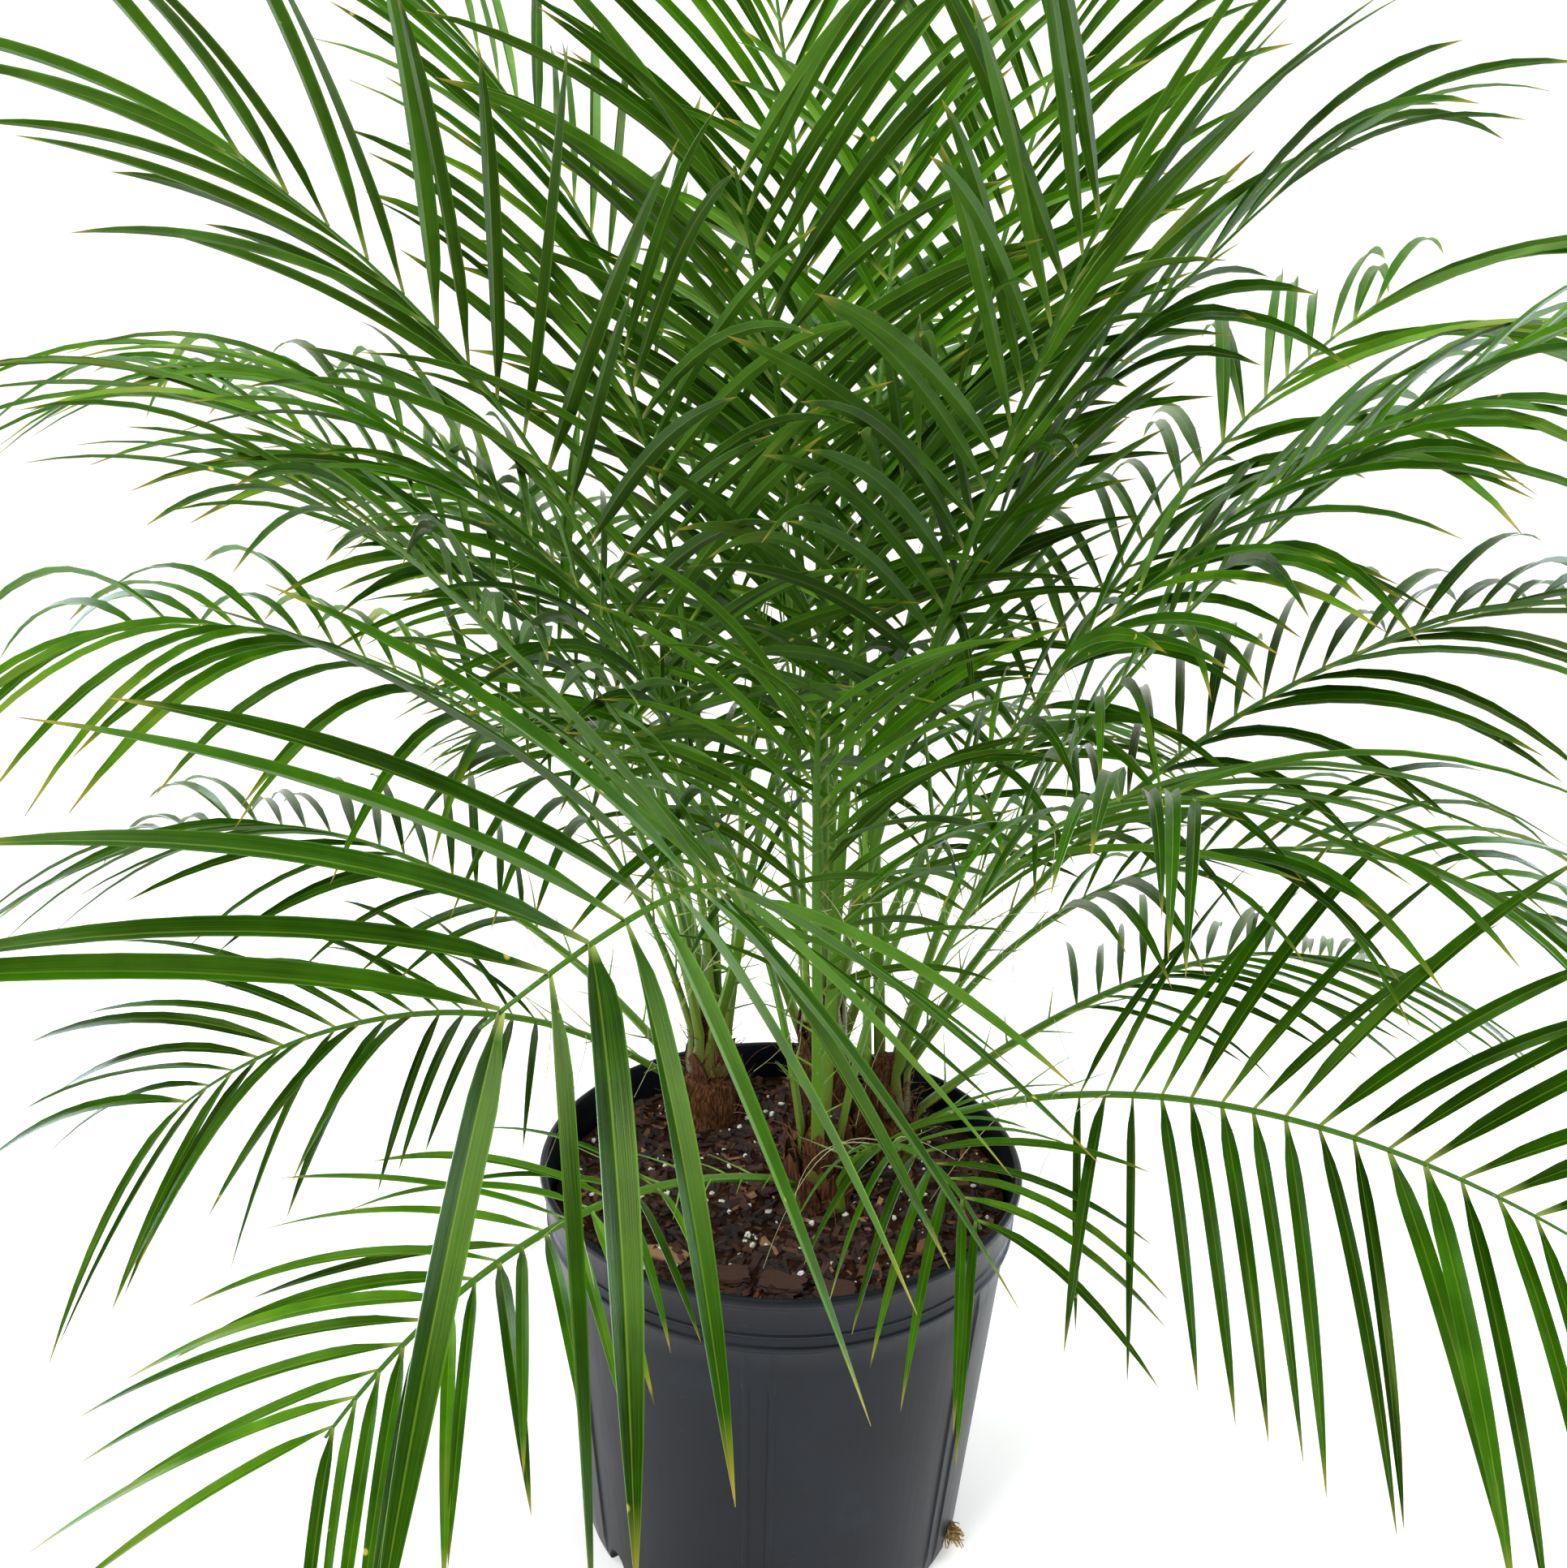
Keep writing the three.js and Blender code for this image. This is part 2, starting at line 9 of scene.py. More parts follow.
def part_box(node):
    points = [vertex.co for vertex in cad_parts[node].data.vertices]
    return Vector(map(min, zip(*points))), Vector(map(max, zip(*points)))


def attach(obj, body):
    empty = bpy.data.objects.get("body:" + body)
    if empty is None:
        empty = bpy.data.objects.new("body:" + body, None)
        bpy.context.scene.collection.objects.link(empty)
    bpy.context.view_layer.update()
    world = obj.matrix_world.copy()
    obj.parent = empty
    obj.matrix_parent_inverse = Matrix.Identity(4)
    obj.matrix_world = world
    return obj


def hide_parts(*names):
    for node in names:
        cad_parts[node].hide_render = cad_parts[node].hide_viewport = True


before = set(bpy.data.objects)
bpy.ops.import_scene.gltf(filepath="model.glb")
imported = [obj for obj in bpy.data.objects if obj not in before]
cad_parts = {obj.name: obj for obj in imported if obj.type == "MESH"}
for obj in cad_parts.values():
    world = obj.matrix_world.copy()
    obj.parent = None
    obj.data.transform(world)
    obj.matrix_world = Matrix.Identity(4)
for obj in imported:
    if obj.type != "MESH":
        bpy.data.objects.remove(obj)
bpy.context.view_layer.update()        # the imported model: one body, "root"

scene = bpy.context.scene
mm = 0.001
up = Vector((0, 0, 1))


# ---- shared helpers ----
def linearColour(hexText):
    values = [int(hexText[i:i + 2], 16) / 255 for i in (1, 3, 5)]
    linear = [v / 12.92 if v <= 0.04045 else ((v + 0.055) / 1.055) ** 2.4 for v in values]
    return (*linear, 1.0)


def addNode(material, kind, settings=None, links=None):
    node = material.node_tree.nodes.new(kind)
    for name, value in (settings or {}).items():
        if name == "stops":
            ramp = node.color_ramp
            while len(ramp.elements) < len(value):
                ramp.elements.new(0.5)
            for element, (position, colour) in zip(ramp.elements, value):
                element.position = position
                element.color = linearColour(colour)
        elif isinstance(name, str) and hasattr(node, name):
            setattr(node, name, value)
        else:
            node.inputs[name].default_value = value
    for name, source in (links or {}).items():
        material.node_tree.links.new(source, node.inputs[name])
    return node


def newMaterial(name, settings):
    material = bpy.data.materials.new(name)
    material.use_nodes = True
    shader = material.node_tree.nodes["Principled BSDF"]
    for key, value in settings.items():
        shader.inputs[key].default_value = value
    return material, shader


def joinShader(material, shader, links):
    for name, source in links.items():
        material.node_tree.links.new(source, shader.inputs[name])


def smoothStep(low, high, value):
    share = min(max((value - low) / (high - low), 0.0), 1.0)
    return share * share * (3 - 2 * share)


def finishPiece(name, bm, materials, nodes=(), sharpAngle=40):
    mesh = bpy.data.meshes.new(name)
    bm.to_mesh(mesh)
    bm.free()
    for polygon in mesh.polygons:
        polygon.use_smooth = True
    mesh.set_sharp_from_angle(angle=math.radians(sharpAngle))
    for material in materials:
        mesh.materials.append(material)
    piece = bpy.data.objects.new(name, mesh)
    scene.collection.objects.link(piece)
    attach(piece, "root")
    if nodes:
        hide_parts(*nodes)
    return piece


def placeBlank(bm, blank, place, tone, materialIndex=None):
    firstVert, firstFace = len(bm.verts), len(bm.faces)
    bm.from_mesh(blank)
    bm.verts.ensure_lookup_table()
    bm.faces.ensure_lookup_table()
    toneLayer = bm.verts.layers.float["tone"]
    for vert in bm.verts[firstVert:]:
        vert.co = place(vert.co)
        vert[toneLayer] = tone
    if materialIndex is not None:
        for face in bm.faces[firstFace:]:
            face.material_index = materialIndex


def newSkin():
    bm = bmesh.new()
    bm.verts.layers.float.new("tone")
    bm.loops.layers.uv.new("surfaceMap")
    return bm


def settled(bm):
    # After doubles are merged, start again from a clean copy so that blanks are added at the end.
    mesh = bpy.data.meshes.new("settled")
    bm.to_mesh(mesh)
    bm.free()
    fresh = bmesh.new()
    fresh.from_mesh(mesh)
    bpy.data.meshes.remove(mesh)
    return fresh


# ---- materials ----
def addNoise(material, vector, scale, detail=4.0, roughness=0.5):
    settings = {"Scale": scale, "Detail": detail, "Roughness": roughness}
    return addNode(material, "ShaderNodeTexNoise", settings, {"Vector": vector})


def addStretch(material, vector, scale, rotation=(0, 0, 0)):
    settings = {"Scale": scale, "Rotation": rotation}
    return addNode(material, "ShaderNodeMapping", settings, {"Vector": vector}).outputs["Vector"]


def addRamp(material, source, stops):
    return addNode(material, "ShaderNodeValToRGB", {"stops": stops}, {"Fac": source}).outputs["Color"]


def addMath(material, operation, first, second=None, third=None):
    # each of the three may be a number or another node's output
    node = addNode(material, "ShaderNodeMath", {"operation": operation})
    for index, value in enumerate((first, second, third)):
        if isinstance(value, bpy.types.NodeSocket):
            material.node_tree.links.new(value, node.inputs[index])
        elif value is not None:
            node.inputs[index].default_value = value
    return node.outputs["Value"]


def addRange(material, value, fromMin, fromMax, toMin=0.0, toMax=1.0):
    settings = {"From Min": fromMin, "From Max": fromMax, "To Min": toMin, "To Max": toMax}
    return addNode(material, "ShaderNodeMapRange", settings, {"Value": value}).outputs["Result"]


def addColour(material, share, under, colour):
    # lays one plain colour over what is under it, by a share
    settings = {"data_type": "RGBA", 7: linearColour(colour)}
    return addNode(material, "ShaderNodeMix", settings, {0: share, 6: under}).outputs[2]


def addBump(material, height, strength, distance):
    settings = {"Strength": strength, "Distance": distance}
    return addNode(material, "ShaderNodeBump", settings, {"Height": height}).outputs["Normal"]


def objectSpot(material):
    return addNode(material, "ShaderNodeTexCoord").outputs["Object"]


def surfaceSpot(material):
    return addNode(material, "ShaderNodeUVMap", {"uv_map": "surfaceMap"}).outputs["UV"]


def makePotPlastic():
    # Blow-moulded black polyethylene: satin, faintly waxy, with drag marks up the wall and dusty scuffs.
    material, shader = newMaterial("Moulded HDPE, carbon black", {"IOR": 1.54, "Specular IOR Level": 0.17})
    spot = objectSpot(material)
    streaks = addNoise(material, addStretch(material, spot, (260, 260, 9)), 1.0)
    clouds = addNoise(material, spot, 11.0, 5.0, 0.6)
    grit = addNoise(material, spot, 900.0, 2.0)
    scuffs = addNoise(material, addStretch(material, spot, (60, 60, 420), (0.2, 0.1, 0)), 1.0, 6.0, 0.75)
    scuffMask = addRamp(material, scuffs.outputs["Fac"], [(0.66, "#000000"), (0.78, "#ffffff")])
    tint = addRamp(material, clouds.outputs["Fac"],
                   [(0.30, "#0b0f15"), (0.62, "#141922"), (0.80, "#1e2530")])
    worn = addColour(material, scuffMask, tint, "#4a4f57")
    gloss = addRange(material, streaks.outputs["Fac"], 0.0, 1.0, 0.28, 0.46)
    relief = addNode(material, "ShaderNodeMix", {"data_type": "RGBA", 0: 0.35},
                     {6: streaks.outputs["Color"], 7: grit.outputs["Color"]})
    bump = addBump(material, relief.outputs[2], 0.35, 0.0003)
    joinShader(material, shader, {"Base Color": worn, "Roughness": gloss, "Normal": bump})
    return material


def makeBarkMix():
    # Damp composted bark and peat: nearly black in its hollows, red-brown on its crumbs.
    material, shader = newMaterial("Composted bark and peat, damp",
                                   {"Roughness": 0.9, "Specular IOR Level": 0.12})
    spot = objectSpot(material)
    crumbs = addNode(material, "ShaderNodeTexVoronoi", {"Scale": 330.0}, {"Vector": spot})
    fines = addNoise(material, spot, 190.0, 6.0, 0.7)
    tint = addRamp(material, fines.outputs["Fac"],
                   [(0.30, "#0f0703"), (0.50, "#2b160b"), (0.66, "#4a2814"), (0.80, "#734526")])
    bump = addBump(material, crumbs.outputs["Distance"], 0.9, 0.0014)
    joinShader(material, shader, {"Base Color": tint, "Normal": bump})
    return material


def makePineBark():
    # Shredded pine bark: fibrous flakes, each its own shade from near black to tan.
    material, shader = newMaterial("Pine bark, shredded", {"Roughness": 0.75, "Specular IOR Level": 0.15})
    tone = addNode(material, "ShaderNodeAttribute", {"attribute_name": "tone"})
    grain = addNoise(material, addStretch(material, objectSpot(material), (180, 900, 900)), 1.0)
    shade = addRamp(material, tone.outputs["Fac"],
                    [(0.0, "#1b0d06"), (0.40, "#482614"), (0.75, "#80492a"), (1.0, "#cc9f70")])
    dark = addNode(material, "ShaderNodeMix", {"data_type": "RGBA", "blend_type": "MULTIPLY", 0: 0.7},
                   {6: shade, 7: grain.outputs["Color"]})
    bright = addNode(material, "ShaderNodeBrightContrast", {"Bright": 0.02}, {"Color": dark.outputs[2]})
    bump = addBump(material, grain.outputs["Fac"], 0.7, 0.0006)
    joinShader(material, shader, {"Base Color": bright.outputs["Color"], "Normal": bump})
    return material


def makePerlite():
    # Expanded volcanic glass: chalk white, matt, pitted.
    material, shader = newMaterial("Perlite, expanded", {"Roughness": 0.95})
    pits = addNoise(material, objectSpot(material), 1400.0, 3.0)
    tint = addRamp(material, pits.outputs["Fac"], [(0.35, "#c9c3b4"), (0.60, "#f6f4ee")])
    bump = addBump(material, pits.outputs["Fac"], 0.6, 0.0004)
    joinShader(material, shader, {"Base Color": tint, "Normal": bump})
    return material


def makeLeafFibre():
    # Old leaf bases weathered to a woven brown fibre, with strands running up the stem.
    material, shader = newMaterial("Palm leaf-base fibre, weathered",
                                   {"Roughness": 0.9, "Specular IOR Level": 0.12})
    strands = addNoise(material, addStretch(material, objectSpot(material), (900, 900, 55)), 1.0, 5.0, 0.6)
    tint = addRamp(material, strands.outputs["Fac"],
                   [(0.32, "#20120a"), (0.50, "#4d2e1b"), (0.68, "#7d5535"), (0.82, "#a98458")])
    bump = addBump(material, strands.outputs["Fac"], 0.9, 0.0009)
    joinShader(material, shader, {"Base Color": tint, "Normal": bump})
    return material


def makeStalk():
    # Living petiole and midrib: smooth, pale yellow-green where it clasps the stem, greener outwards.
    material, shader = newMaterial("Palm petiole, living", {"Roughness": 0.42, "Specular IOR Level": 0.2})
    parts = addNode(material, "ShaderNodeSeparateXYZ", {}, {"Vector": surfaceSpot(material)})
    flecks = addNoise(material, objectSpot(material), 420.0, 4.0, 0.7)
    tint = addRamp(material, parts.outputs["X"], [(0.0, "#4f4022"), (0.06, "#66782a"), (0.18, "#557f1c"),
                                                  (0.50, "#487514"), (1.0, "#36600d")])
    scurf = addRamp(material, flecks.outputs["Fac"], [(0.62, "#000000"), (0.72, "#ffffff")])
    dusty = addColour(material, scurf, tint, "#8fa06a")
    bump = addBump(material, flecks.outputs["Fac"], 0.3, 0.0003)
    joinShader(material, shader, {"Base Color": dusty, "Normal": bump})
    return material


def makeLeafSkin(name, settings):
    # A waxy leaflet: parallel veins, a pale fold line, a tip that yellows and dries first.
    material, shader = newMaterial(name, {"IOR": 1.45, "Specular IOR Level": settings["shine"],
                                          "Specular Tint": linearColour("#d6ff7a")})
    reach = surfaceSpot(material)
    parts = addNode(material, "ShaderNodeSeparateXYZ", {}, {"Vector": reach})
    lengthwise, across = parts.outputs["X"], parts.outputs["Y"]
    spot = objectSpot(material)
    tone = addNode(material, "ShaderNodeAttribute", {"attribute_name": "tone"}).outputs["Fac"]
    veins = addNoise(material, addStretch(material, reach, (1.6, 34, 1)), 1.0, 3.0).outputs["Fac"]
    clouds = addNoise(material, spot, 38.0).outputs["Fac"]
    # the body: each leaflet its own green, clouded and finely veined
    shade = addMath(material, "MULTIPLY_ADD", clouds, 0.55, tone)
    tint = addRamp(material, shade, settings["greens"])
    tint = addColour(material, addRange(material, veins, 0.45, 0.75, 0.0, 0.35), tint, settings["vein"])
    # the pale fold line down its middle and the thin lighter margin
    side = addMath(material, "ABSOLUTE", addMath(material, "SUBTRACT", across, 0.5))
    foldShare = addRange(material, side, 0.05, 0.012, 0.0, settings["foldShare"])
    tint = addColour(material, foldShare, tint, settings["fold"])
    tint = addColour(material, addRange(material, side, 0.44, 0.5, 0.0, 0.45), tint, "#5c8c2e")
    # the tip yellows, then dries to brown
    drying = addMath(material, "MULTIPLY_ADD", tone, 0.12, -0.05)
    reachDry = addMath(material, "ADD", lengthwise, drying)
    tipTint = addRamp(material, reachDry, [(0.86, "#8f9a35"), (0.955, "#b39a3c"), (0.985, "#6b5237")])
    tint = addNode(material, "ShaderNodeMix", {"data_type": "RGBA"},
                   {0: addRange(material, reachDry, 0.86, 1.0), 6: tint, 7: tipTint}).outputs[2]
    # older leaflets carry a yellowing band past their middle
    bandGap = addMath(material, "ABSOLUTE", addMath(material, "SUBTRACT", lengthwise, 0.68))
    bandMask = addRange(material, bandGap, 0.16, 0.02)
    ageMask = addRange(material, tone, 0.30, 0.62, 0.0, 0.6)
    tint = addColour(material, addMath(material, "MULTIPLY", bandMask, ageMask), tint, "#8c8a3a")
    # a pale foot, and here and there a round yellow spot
    tint = addColour(material, addRange(material, lengthwise, 0.07, 0.0, 0.0, 0.75), tint, "#a3b45c")
    spots = addNode(material, "ShaderNodeTexVoronoi", {"Scale": 55.0}, {"Vector": spot})
    spotMask = addRange(material, spots.outputs["Distance"], 0.10, 0.06)
    chosen = addNode(material, "ShaderNodeSeparateColor", {}, {"Color": spots.outputs["Color"]})
    rare = addMath(material, "GREATER_THAN", chosen.outputs[0], 0.86)
    tint = addColour(material, addMath(material, "MULTIPLY", spotMask, rare), tint, "#c8bd57")
    # some leaflets have kept their wax, and others have lost it
    wax = addRange(material, tone, 0.0, 0.6, settings["glossy"], settings["dull"])
    bump = addBump(material, veins, 0.45, 0.00025)
    joinShader(material, shader, {"Base Color": tint, "Roughness": wax, "Normal": bump})
    return material


def makePlainNatural(name, low, high, roughness, grainScale):
    # A single natural tint broken up by a fine grain.
    material, shader = newMaterial(name, {"Roughness": roughness, "Specular IOR Level": 0.2})
    grain = addNoise(material, objectSpot(material), grainScale).outputs["Fac"]
    tint = addRamp(material, grain, [(0.3, low), (0.7, high)])
    joinShader(material, shader, {"Base Color": tint, "Normal": addBump(material, grain, 0.4, 0.0004)})
    return material


leafTop = {"glossy": 0.22, "dull": 0.38, "shine": 0.27, "vein": "#4c8208", "fold": "#7d9a35",
           "foldShare": 0.4,
           "greens": [(0.20, "#0f2b00"), (0.42, "#204801"), (0.66, "#366804"), (0.95, "#68991a")]}
leafUnder = {"glossy": 0.42, "dull": 0.56, "shine": 0.10, "vein": "#5f8a22", "fold": "#8a9f44",
             "foldShare": 0.3,
             "greens": [(0.20, "#233f06"), (0.42, "#345b10"), (0.66, "#48721c"), (0.95, "#6b9336")]}
potPlastic = makePotPlastic()
barkMix = makeBarkMix()
pineBark = makePineBark()
perlite = makePerlite()
leafFibre = makeLeafFibre()
stalk = makeStalk()
leafSkinTop = makeLeafSkin("Palm leaflet, waxed upper skin", leafTop)
leafSkinUnder = makeLeafSkin("Palm leaflet, pale lower skin", leafUnder)
spineSkin = makePlainNatural("Palm spine, green", "#4f7f26", "#8aa544", 0.5, 160.0)
spearSkin = makePlainNatural("Palm spear leaf, unopened", "#4f8a20", "#8fae45", 0.45, 120.0)
rootSkin = makePlainNatural("Palm root, dry", "#7d6436", "#d8ba78", 0.85, 700.0)
threadSkin = makePlainNatural("Palm fibre thread, dry", "#5a3d22", "#9a7a4c", 0.9, 300.0)
paleThreadSkin = makePlainNatural("Palm leaf thread, bleached", "#8d9263", "#c3c39b", 0.8, 200.0)
print("materials made")


# ---- pot ----
potLow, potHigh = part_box("nursery_pot")
pot = {
    "rimRadius": potHigh.x, "height": potHigh.z, "wall": 2.2 * mm, "baseRadius": 115 * mm,
    "lipHeight": 4 * mm, "lipOverhang": 3.5 * mm, "lipRoll": 3.4 * mm, "bandHeight": 30 * mm,
    "bandStep": 3.5 * mm, "bandFlare": 4 * mm, "floorDish": 4 * mm, "floorThick": 3 * mm,
    "footRing": 9 * mm, "centrePad": 16 * mm, "turnSteps": 720, "slots": 6, "slotTurn": -22,
    "slotWidth": 16 * mm, "slotRise": 12.5 * mm,
    "ribs": (-91, -97, -38, -33, -148, 30, 90, 150), "ribWidth": 4 * mm, "ribProud": 1.2 * mm,
    "ribFoot": 14 * mm, "ribHeadGap": 10 * mm,
}


def makePot():
    p = pot
    bandRadius = p["rimRadius"] - p["lipOverhang"]
    bandTop = p["height"] - p["lipHeight"]
    bandFoot = bandTop - p["bandHeight"]
    shoulder = bandFoot - p["bandFlare"]
    shoulderRadius = bandRadius - p["bandStep"]
    lip = p["lipRoll"]
    outline = [
        (0, 0), (p["centrePad"], 0), (p["centrePad"] + 3 * mm, p["floorDish"]),
        (p["baseRadius"] - p["footRing"] - 4 * mm, p["floorDish"]), (p["baseRadius"] - p["footRing"], 0),
        (p["baseRadius"] - 2.5 * mm, 0), (p["baseRadius"] - 0.7 * mm, 0.7 * mm),
        (p["baseRadius"], 2.5 * mm),
        (shoulderRadius, shoulder), (shoulderRadius + 0.5 * mm, shoulder + 0.8 * mm),
        (bandRadius - 1.8 * mm, bandFoot - 1 * mm), (bandRadius - 0.4 * mm, bandFoot),
        (bandRadius, bandFoot + 1 * mm), (bandRadius - 0.2 * mm, bandFoot + 2.2 * mm),
        (bandRadius - 1.2 * mm, bandFoot + 3 * mm), (bandRadius - 1.2 * mm, bandFoot + 7.4 * mm),
        (bandRadius - 0.2 * mm, bandFoot + 8.4 * mm), (bandRadius + 0.2 * mm, bandFoot + 9.8 * mm),
        (bandRadius - 0.5 * mm, bandFoot + 11 * mm), (bandRadius + 0.3 * mm, bandTop - 5 * mm),
        (p["rimRadius"] - 1.4 * mm, bandTop - 2 * mm), (p["rimRadius"] - 0.3 * mm, bandTop - 0.4 * mm),
        (p["rimRadius"], bandTop + 1.4 * mm), (p["rimRadius"] - 0.5 * mm, p["height"] - 1.1 * mm),
        (p["rimRadius"] - 1.7 * mm, p["height"] - 0.2 * mm), (p["rimRadius"] - lip + 0.6 * mm, p["height"]),
        (p["rimRadius"] - lip - 0.8 * mm, p["height"] - 0.9 * mm),
        (p["rimRadius"] - lip - 1.5 * mm, p["height"] - 3 * mm),
        (bandRadius - p["wall"] - 0.4 * mm, bandTop - 5 * mm),
        (bandRadius - p["wall"] - 1.4 * mm, bandFoot + 3 * mm), (shoulderRadius - p["wall"], shoulder),
        (p["baseRadius"] - p["wall"], p["floorDish"] + p["floorThick"]),
        (0, p["floorDish"] + p["floorThick"]),
    ]
    bm = bmesh.new()
    verts = [bm.verts.new((radius, 0, height)) for radius, height in outline]
    edges = [bm.edges.new(pair) for pair in zip(verts, verts[1:])]
    wallEdge = edges[7]
    bmesh.ops.subdivide_edges(bm, edges=[wallEdge], cuts=14)
    bmesh.ops.spin(bm, geom=bm.verts[:] + bm.edges[:], cent=(0, 0, 0), axis=(0, 0, 1),
                   angle=math.tau, steps=p["turnSteps"], use_merge=True)
    bmesh.ops.remove_doubles(bm, verts=bm.verts, dist=0.00001)
    bmesh.ops.recalc_face_normals(bm, faces=bm.faces)
    # moulded ribs: the outer wall swells a little along them
    for vert in bm.verts:
        radius = math.hypot(vert.co.x, vert.co.y)
        wallRadius = p["baseRadius"] + (shoulderRadius - p["baseRadius"]) * vert.co.z / shoulder
        onRib = p["ribFoot"] < vert.co.z < shoulder - p["ribHeadGap"]
        if onRib and abs(radius - wallRadius) < 0.6 * mm:
            ribHalf = math.degrees(p["ribWidth"] / 2 / wallRadius)
            angle = math.degrees(math.atan2(vert.co.y, vert.co.x))
            for rib in p["ribs"]:
                gap = abs((angle - rib + 180) % 360 - 180)
                swell = p["ribProud"] * smoothStep(ribHalf * 1.15, ribHalf * 0.6, gap)
                vert.co.x += math.cos(math.radians(angle)) * swell
                vert.co.y += math.sin(math.radians(angle)) * swell
    shell = finishPiece("nurseryPot", bm, [potPlastic], ["nursery_pot"], 32)
    # drain slots: arched cutters taken out of the foot
    cutterSkin = bmesh.new()
    for i in range(p["slots"]):
        turn = Matrix.Rotation(math.radians(p["slotTurn"] + i * 360 / p["slots"]), 4, "Z")
        outwards = Matrix.Rotation(math.pi / 2, 4, "Y")
        place = turn @ Matrix.Translation((p["baseRadius"], 0, 2 * mm)) @ outwards
        stretch = Matrix.Diagonal((p["slotRise"] / p["slotWidth"] * 1.68, 1, 1, 1))
        bmesh.ops.create_cone(cutterSkin, cap_ends=True, segments=28, radius1=p["slotWidth"] / 2,
                              radius2=p["slotWidth"] / 2, depth=26 * mm, matrix=place @ stretch)
    cutterMesh = bpy.data.meshes.new("slotCutter")
    cutterSkin.to_mesh(cutterMesh)
    cutterSkin.free()
    cutter = bpy.data.objects.new("slotCutter", cutterMesh)
    scene.collection.objects.link(cutter)
    cut = shell.modifiers.new("slots", "BOOLEAN")
    cut.operation = "DIFFERENCE"
    cut.object = cutter
    bpy.context.view_layer.update()
    cutShell = bpy.data.meshes.new_from_object(shell.evaluated_get(bpy.context.evaluated_depsgraph_get()))
    shell.modifiers.clear()
    shell.data = cutShell
    cutShell.name = "nurseryPot"
    bpy.data.objects.remove(cutter)
    for polygon in cutShell.polygons:
        polygon.use_smooth = True
    cutShell.set_sharp_from_angle(angle=math.radians(32))
    return shell


makePot()
print("pot made")


# ---- potting mix ----
mixLow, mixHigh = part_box("potting_mix")
mix = {"level": mixHigh.z, "foot": mixLow.z, "radius": mixHigh.x, "edgeDrop": 3.5 * mm, "lumps": 2.6 * mm,
       "heap": 3 * mm, "heapReach": 38 * mm, "rings": 34, "steps": 140,
       "chips": 1250, "crumbs": 1000, "grains": 240}


# ---- palm: crowns, in millimetres, standing on the mix ----
crowns = {
    "a": {"x": -45, "y": 70, "footHeight": 28, "neckHeight": 34, "heartRoom": 2, "footRoom": 1.3},
    "b": {"x": 25, "y": 100, "footHeight": 28, "neckHeight": 42, "heartRoom": 2, "footRoom": 1.3},
    "c": {"x": 62, "y": 38, "footHeight": 24, "neckHeight": 32, "heartRoom": 2, "footRoom": 1.3},
    "d": {"x": 22, "y": -18, "footHeight": 18, "neckHeight": 22, "heartRoom": 0.9, "footRoom": 0.4},
}
heartHeight = 9
fitGap = 0.3
mixTop = mix["level"] / mm
twigFloor = (mixTop + 4) * mm
for crown in crowns.values():
    crown["shoulder"] = mixTop + crown["footHeight"]
    crown["top"] = crown["shoulder"] + crown["neckHeight"]


def mixHeight(x, y):
    radius = math.hypot(x, y)
    height = mix["level"] - mix["edgeDrop"] * smoothStep(0.75, 1.0, radius / mix["radius"])
    height += mix["lumps"] * noise.noise(Vector((x * 38, y * 38, 0.3)))
    height += 0.5 * mix["lumps"] * noise.noise(Vector((x * 130, y * 130, 4.1)))
    for crown in crowns.values():
        away = math.hypot(x - crown["x"] * mm, y - crown["y"] * mm)
        height += mix["heap"] * max(0.0, 1 - away / mix["heapReach"])
    return height


def makeMix():
    bm = newSkin()
    outline = [(0, mix["foot"]), (mix["radius"] - 18 * mm, mix["foot"]),
               (mix["radius"], mix["level"] - 20 * mm), (mix["radius"], mix["level"])]
    outline += [(mix["radius"] * (1 - i / mix["rings"]), mix["level"]) for i in range(1, mix["rings"] + 1)]
    verts = [bm.verts.new((radius, 0, height)) for radius, height in outline]
    edges = [bm.edges.new(pair) for pair in zip(verts, verts[1:])]
    bmesh.ops.spin(bm, geom=verts + edges, cent=(0, 0, 0), axis=(0, 0, 1), angle=math.tau,
                   steps=mix["steps"], use_merge=True)
    bmesh.ops.remove_doubles(bm, verts=bm.verts, dist=0.00001)
    bmesh.ops.recalc_face_normals(bm, faces=bm.faces)
    for vert in bm.verts:
        if vert.co.z > mix["level"] - 1 * mm:
            vert.co.z = mixHeight(vert.co.x, vert.co.y)
    finishPiece("pottingMix", bm, [barkMix], ["potting_mix"], 60)


def spotOnMix(dice, reach):
    angle = dice.uniform(0, math.tau)
    radius = reach * math.sqrt(dice.random())
    return radius * math.cos(angle), radius * math.sin(angle)


def chipBlank(ragged, seed):
    dice = random.Random(seed)
    bm = newSkin()
    bmesh.ops.create_cube(bm, size=1)
    lengthwise = [e for e in bm.edges if abs(e.verts[0].co.x - e.verts[1].co.x) > 0.5]
    bmesh.ops.subdivide_edges(bm, edges=lengthwise, cuts=2)
    for vert in bm.verts:
        vert.co.y *= 1 - 0.55 * abs(vert.co.x) * 2 * dice.random()
        vert.co += Vector([dice.uniform(-ragged, ragged) for _ in range(3)])
    bmesh.ops.recalc_face_normals(bm, faces=bm.faces)
    mesh = bpy.data.meshes.new("chipBlank")
    bm.to_mesh(mesh)
    bm.free()
    return mesh


